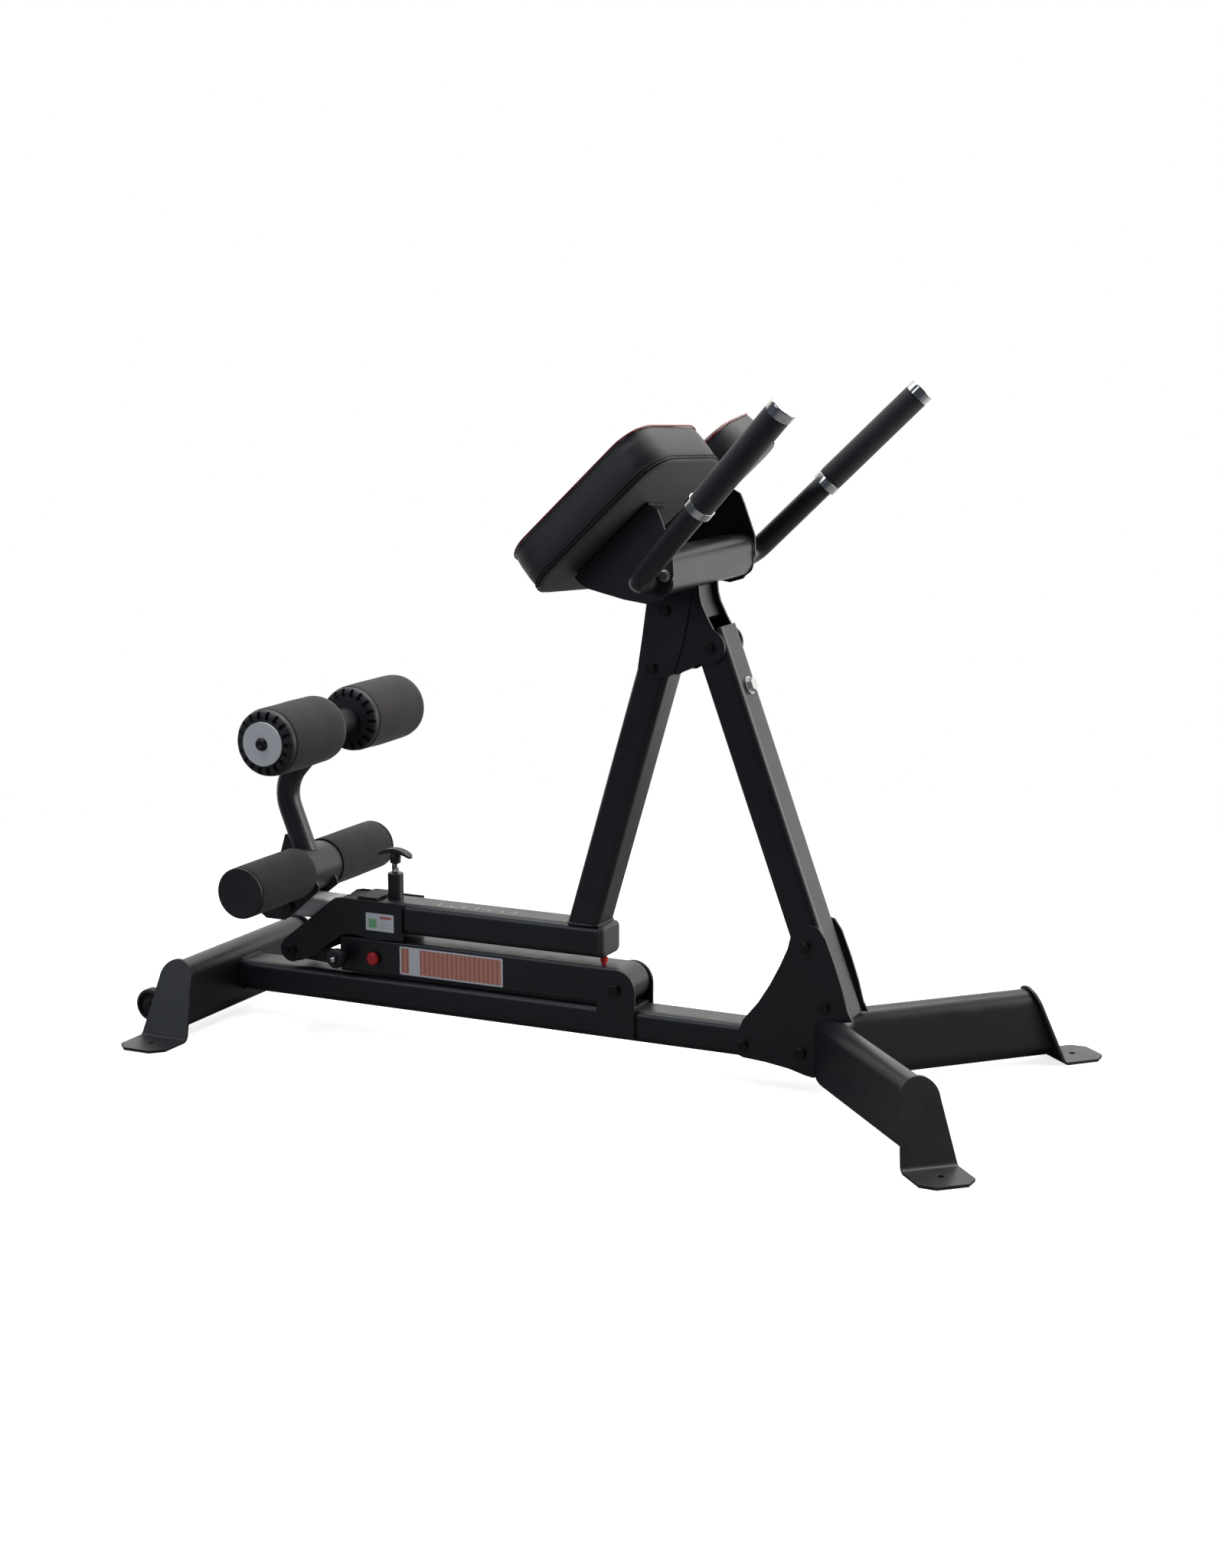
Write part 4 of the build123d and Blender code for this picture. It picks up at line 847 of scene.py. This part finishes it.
for side, sign in SIDES:
    roller = revolve(
        "foam_roller_" + side, (ROLLER_X, AXLE_Y, ROLLER_Z), (0, sign, 0),
        foam_profile(
            inner=0.0302, outer=0.0588, near=0.0602, far=0.2148, rounding=0.0035, crown=0.0009),
        "foam", segments=120, wobble=soft_wobble(seed=1.3 + sign, size=0.00045))
    attach(roller, "roller_" + side, replaces="roller_foam_" + side)
for side, sign in SIDES:
    sleeve = revolve(
        "foam_sleeve_" + side, (SHIFT_X - 0.595, AXLE_Y, 0.273), (0, sign, 0),
        foam_profile(
            inner=0.0427, outer=0.0452, near=0.0462, far=0.2188, rounding=0.0012, crown=0.0003),
        "foam_low", segments=110, wobble=soft_wobble(seed=4.1 + sign, size=0.00015))
    attach(sleeve, "ankle_carriage", replaces="lower_foams")

# ------------------------------------------------------------------ grips
HANDLE_END = (0.448 + SHIFT_X, 0.309, 1.138)  # left handlebar
HANDLE_DIRECTION = (0.6862, 0.1852, 0.7042)
GRIP_START, GRIP_END = -0.2198, -0.0182  # along the handlebar from its end
GRIP_BORE, GRIP_LIP, GRIP_EDGE, GRIP_RADIUS = 0.0187, 0.0212, 0.0219, 0.0220
GROOVE_INSET, GROOVE_DEPTH, GROOVE_WIDTH = 0.010, 0.0006, 0.0011


def grip_profile():
    """Sleeve section with a shallow groove near each end."""
    profile = [
        (GRIP_BORE, GRIP_START), (GRIP_LIP, GRIP_START), (GRIP_EDGE, GRIP_START + 0.0012)]
    for i in range(1, 40):
        along = GRIP_START + 0.002 + (GRIP_END - GRIP_START - 0.004) * i / 40
        groove = sum(
            GROOVE_DEPTH * math.exp(-((along - middle) / GROOVE_WIDTH) ** 2)
            for middle in (GRIP_START + GROOVE_INSET, GRIP_END - GROOVE_INSET))
        profile.append((GRIP_RADIUS - groove, along))
    return profile + [
        (GRIP_EDGE, GRIP_END - 0.0012), (GRIP_LIP, GRIP_END), (GRIP_BORE, GRIP_END),
        (GRIP_BORE, (GRIP_START + GRIP_END) / 2)]


for side, sign in SIDES:
    mirror = Vector((1, sign, 1))
    grip = revolve(
        "grip_sleeve_" + side, Vector(HANDLE_END) * mirror,
        Vector(HANDLE_DIRECTION).normalized() * mirror, grip_profile(), "grip", segments=72)
    attach(grip, "swing_frame", replaces="grips")


# ------------------------------------------------------------------ labels and marks
def sticker(name, centre, width, height, material, body):
    """Thin rounded label that faces -Y; the object's origin is its centre."""
    outline = rounded_rect(width, height, radius=0.002, steps=6)
    count = len(outline)
    points = [(x, 0.0, z) for x, z in outline]
    points += [(x * 0.998, -0.0003, z * 0.998) for x, z in outline]
    faces = [tuple(range(count)), tuple(range(2 * count - 1, count - 1, -1))]
    for i in range(count):
        after = (i + 1) % count
        faces.append((i, after, count + after, count + i))
    obj = new_object(name, points, faces, material, smooth=False)
    obj.location = centre
    attach(obj, body)


sticker("label_prop", (SHIFT_X - 0.2805, -0.03402, 0.1355), width=0.206, height=0.051,
        material="label", body="prop_outer")
sticker("label_casing", (SHIFT_X - 0.4195, -0.04002, 0.2012), width=0.057, height=0.032,
        material="label_small", body="swing_frame")

MARK_START_X, MARK_PITCH = SHIFT_X - 0.315, 0.025
MARK_Y = -0.018  # end of every mark towards -Y
MARK_HALF_WIDTH = 0.0011
BOX_FACES = [(0, 1, 3, 2), (4, 6, 7, 5), (0, 4, 5, 1), (2, 3, 7, 6), (0, 2, 6, 4), (1, 5, 7, 3)]
for i in range(7):
    middle = MARK_START_X + i * MARK_PITCH
    length = 0.011 if i % 3 else 0.017
    corners = [
        (x, y, z)
        for x in (middle - MARK_HALF_WIDTH, middle + MARK_HALF_WIDTH)
        for y in (MARK_Y, MARK_Y + length)
        for z in (0.2381, 0.2384)]
    mark = new_object("arm_mark_%d" % (i + 1), corners, BOX_FACES, "mark", smooth=False)
    attach(mark, "swing_frame")

# ------------------------------------------------------------------ small metal details
# profiles are (radius, distance along the axis)
PIN_PROFILE = [
    (0.00505, 0.2855), (0.0062, 0.2855), (0.0064, 0.2865),
    (0.0064, 0.3005), (0.0060, 0.3015), (0.00505, 0.3015),
]
BUTTON_PROFILE = [
    (0, 0.0755), (0.0048, 0.0755), (0.0053, 0.0768),
    (0.0047, 0.0784), (0.0028, 0.0795), (0, 0.0798),
]
SCREW_PROFILE = [  # washer, then the socket screw's head
    (0, 0.2342), (0.0112, 0.2342), (0.0112, 0.2356), (0.0094, 0.2362), (0.0094, 0.2396),
    (0.0084, 0.2406), (0.0046, 0.2406), (0.0044, 0.2402), (0.0040, 0.2398), (0, 0.2397),
]
# chrome length of the pull pin between barrel and cap
pin = revolve(
    "pull_pin_shaft", (SHIFT_X - 0.409, 0, 0), (0, 0, 1), PIN_PROFILE, "chrome", segments=40)
attach(pin, "pull_pin")
# chrome button at the -Y end of the prop knob
button = lathe_solid(
    "prop_knob_button", (SHIFT_X - 0.496, 0, 0.133), (0, -1, 0), BUTTON_PROFILE, "chrome",
    segments=40)
attach(button, "prop_knob")
# dark screws in the middle of the end discs
for side, sign in SIDES:
    screw = lathe_solid(
        "disc_screw_" + side, (ROLLER_X, AXLE_Y, ROLLER_Z), (0, sign, 0), SCREW_PROFILE, "bolt",
        segments=48)
    attach(screw, "ankle_carriage")


# ------------------------------------------------------------------ welds
LEG_FOOT_X = SHIFT_X - 0.025104
HANDLE_WELD_RADIUS = 0.0189


def weld(name, path, radius, body, seed=0.0):
    """Uneven bead along a closed path."""
    def ripple(i):
        return 0.22 * math.sin(i * 1.25 + seed) + 0.1 * math.sin(i * 0.37 + seed)
    bead = rope(name, path, radius, "frame", sides=8, ripple=ripple)
    attach(bead, body)


def weld_rect(width, height, radius):
    corners = [Vector(point) for point in rounded_rect(width, height, radius, steps=8)]
    return fill_in(corners, step=0.0026)


# foot of the leg on the arm tube
path = [(LEG_FOOT_X + x, y, 0.2386) for x, y in weld_rect(0.0600, 0.0704, radius=0.012)]
weld("weld_leg_foot", path, radius=0.0021, body="swing_frame")
# base tube on the rear stabiliser
path = [(SHIFT_X - 0.7176, y, 0.071 + z) for y, z in weld_rect(0.0694, 0.0564, radius=0.012)]
weld("weld_base_rear", path, radius=0.0022, body="base", seed=1.0)
# crosstube and handlebars on the brackets
for side, sign in SIDES:
    path = [
        (0.168 + SHIFT_X + x, sign * 0.1645, 0.860 + z)
        for x, z in weld_rect(0.0664, 0.0704, radius=0.0242)]
    weld("weld_crosstube_" + side, path, radius=0.0020, body="swing_frame", seed=2.0 + sign)
    circle = arc(0.1602 + SHIFT_X, 0.851, HANDLE_WELD_RADIUS, 0, 360, steps=72)[:-1]
    path = [(x, sign * 0.1706, z) for x, z in circle]
    weld("weld_handle_" + side, path, radius=0.0017, body="swing_frame", seed=3.0 + sign)


# ------------------------------------------------------------------ stage, light, camera
def floor_material():
    """Bright to the camera, dark to other rays, and fading out round the bench."""
    mat = Material("studio_floor")
    camera_ray = mat.camera_ray()
    pale = mat.mottle(mat.noise(scale=3), low=(0.74, 0.74, 0.74), high=(0.76, 0.76, 0.76))
    color = mat.mix(camera_ray, (0.17, 0.17, 0.175), pale)
    mat.surface(color=color, rough=0.95, spec=0.0)
    matt = mat.principled.outputs[0]
    glow = mat.add("ShaderNodeEmission", {"Strength": 0.78})
    lifted = mat.add("ShaderNodeAddShader", {0: matt, 1: glow.outputs[0]})
    seen = mat.add("ShaderNodeMixShader", {0: camera_ray, 1: matt, 2: lifted.outputs[0]})
    clear = mat.add("ShaderNodeBsdfTransparent")
    x, y, _ = mat.xyz()
    distance = mat.remap(mat.hypot(x, y), source=(1.1, 2.4))
    fade = mat.add(
        "ShaderNodeMixShader", {0: distance, 1: seen.outputs[0], 2: clear.outputs[0]})
    mat.feed(mat.out, fade.outputs[0])  # takes the place of the plain surface
    return mat.block


def make_world():
    """White to the camera; lights the scene with a gradient that brightens towards +Y."""
    world = bpy.data.worlds.new("studio")
    scene.world = world
    sky = Shader(world, "ShaderNodeOutputWorld")
    toward_left = sky.remap(sky.xyz("Generated")[1], source=(-1.0, 1.0))
    ramp = sky.add("ShaderNodeValToRGB", {0: toward_left})
    stops = ramp.color_ramp.elements
    stops[0].color = (0.045, 0.052, 0.068, 1)
    stops[1].color = (1.25, 1.22, 1.18, 1)
    stops.new(0.42).color = (0.07, 0.075, 0.09, 1)
    stops.new(0.62).color = (0.95, 0.93, 0.90, 1)
    gradient = sky.add("ShaderNodeBackground", {0: ramp.outputs[0]})
    white = sky.add("ShaderNodeBackground", {0: (1, 1, 1)})
    inputs = {0: sky.camera_ray(), 1: gradient.outputs[0], 2: white.outputs[0]}
    sky.feed(sky.out, sky.add("ShaderNodeMixShader", inputs).outputs[0])


def area_light(name, location, target, size, power, color):
    light = bpy.data.lights.new(name, "AREA")
    light.shape = "RECTANGLE"
    light.size, light.size_y = size
    light.energy = power
    light.color = color
    obj = bpy.data.objects.new(name, light)
    scene.collection.objects.link(obj)
    obj.location = location
    aim = Vector(target) - Vector(location)
    obj.rotation_euler = aim.to_track_quat("-Z", "Y").to_euler()


def make_camera():
    lens = bpy.data.cameras.new("camera")
    camera = bpy.data.objects.new("camera", lens)
    scene.collection.objects.link(camera)
    camera.location = (1.9156 + SHIFT_X, -3.9586, 1.3290)
    aim = Vector((-0.42457, 0.88527, -0.18984))
    camera.rotation_euler = aim.to_track_quat("-Z", "Y").to_euler()
    lens.sensor_width = 36
    lens.lens = 60.78
    lens.clip_end = 100
    scene.camera = camera


FLOOR_HALF, FLOOR_Z = 30.0, -0.0005
corners = [
    (x * FLOOR_HALF, y * FLOOR_HALF, FLOOR_Z) for x, y in ((-1, -1), (1, -1), (1, 1), (-1, 1))]
new_object("floor", corners, [(0, 1, 2, 3)], floor_material(), smooth=False)
make_world()
area_light("key_top", location=(0.2, 1.2, 3.6), target=(0, 0, 0.4),
           size=(3.0, 2.4), power=92, color=(1.0, 0.985, 0.96))
area_light("side_right", location=(3.4, 1.3, 1.2), target=(0.1, 0, 0.5),
           size=(2.4, 2.4), power=90, color=(1.0, 0.965, 0.92))
area_light("over_left", location=(-1.2, -0.6, 3.0), target=(-0.3, 0, 0.4),
           size=(1.6, 0.5), power=24, color=(0.88, 0.93, 1.0))
area_light("fill_front", location=(-1.8, -3.6, 2.2), target=(0, 0, 0.5),
           size=(2.4, 2.0), power=32, color=(0.84, 0.90, 1.0))
make_camera()
scene.view_settings.view_transform = "Standard"
scene.view_settings.look = "None"
scene.view_settings.exposure = 0.0
scene.view_settings.gamma = 1.0
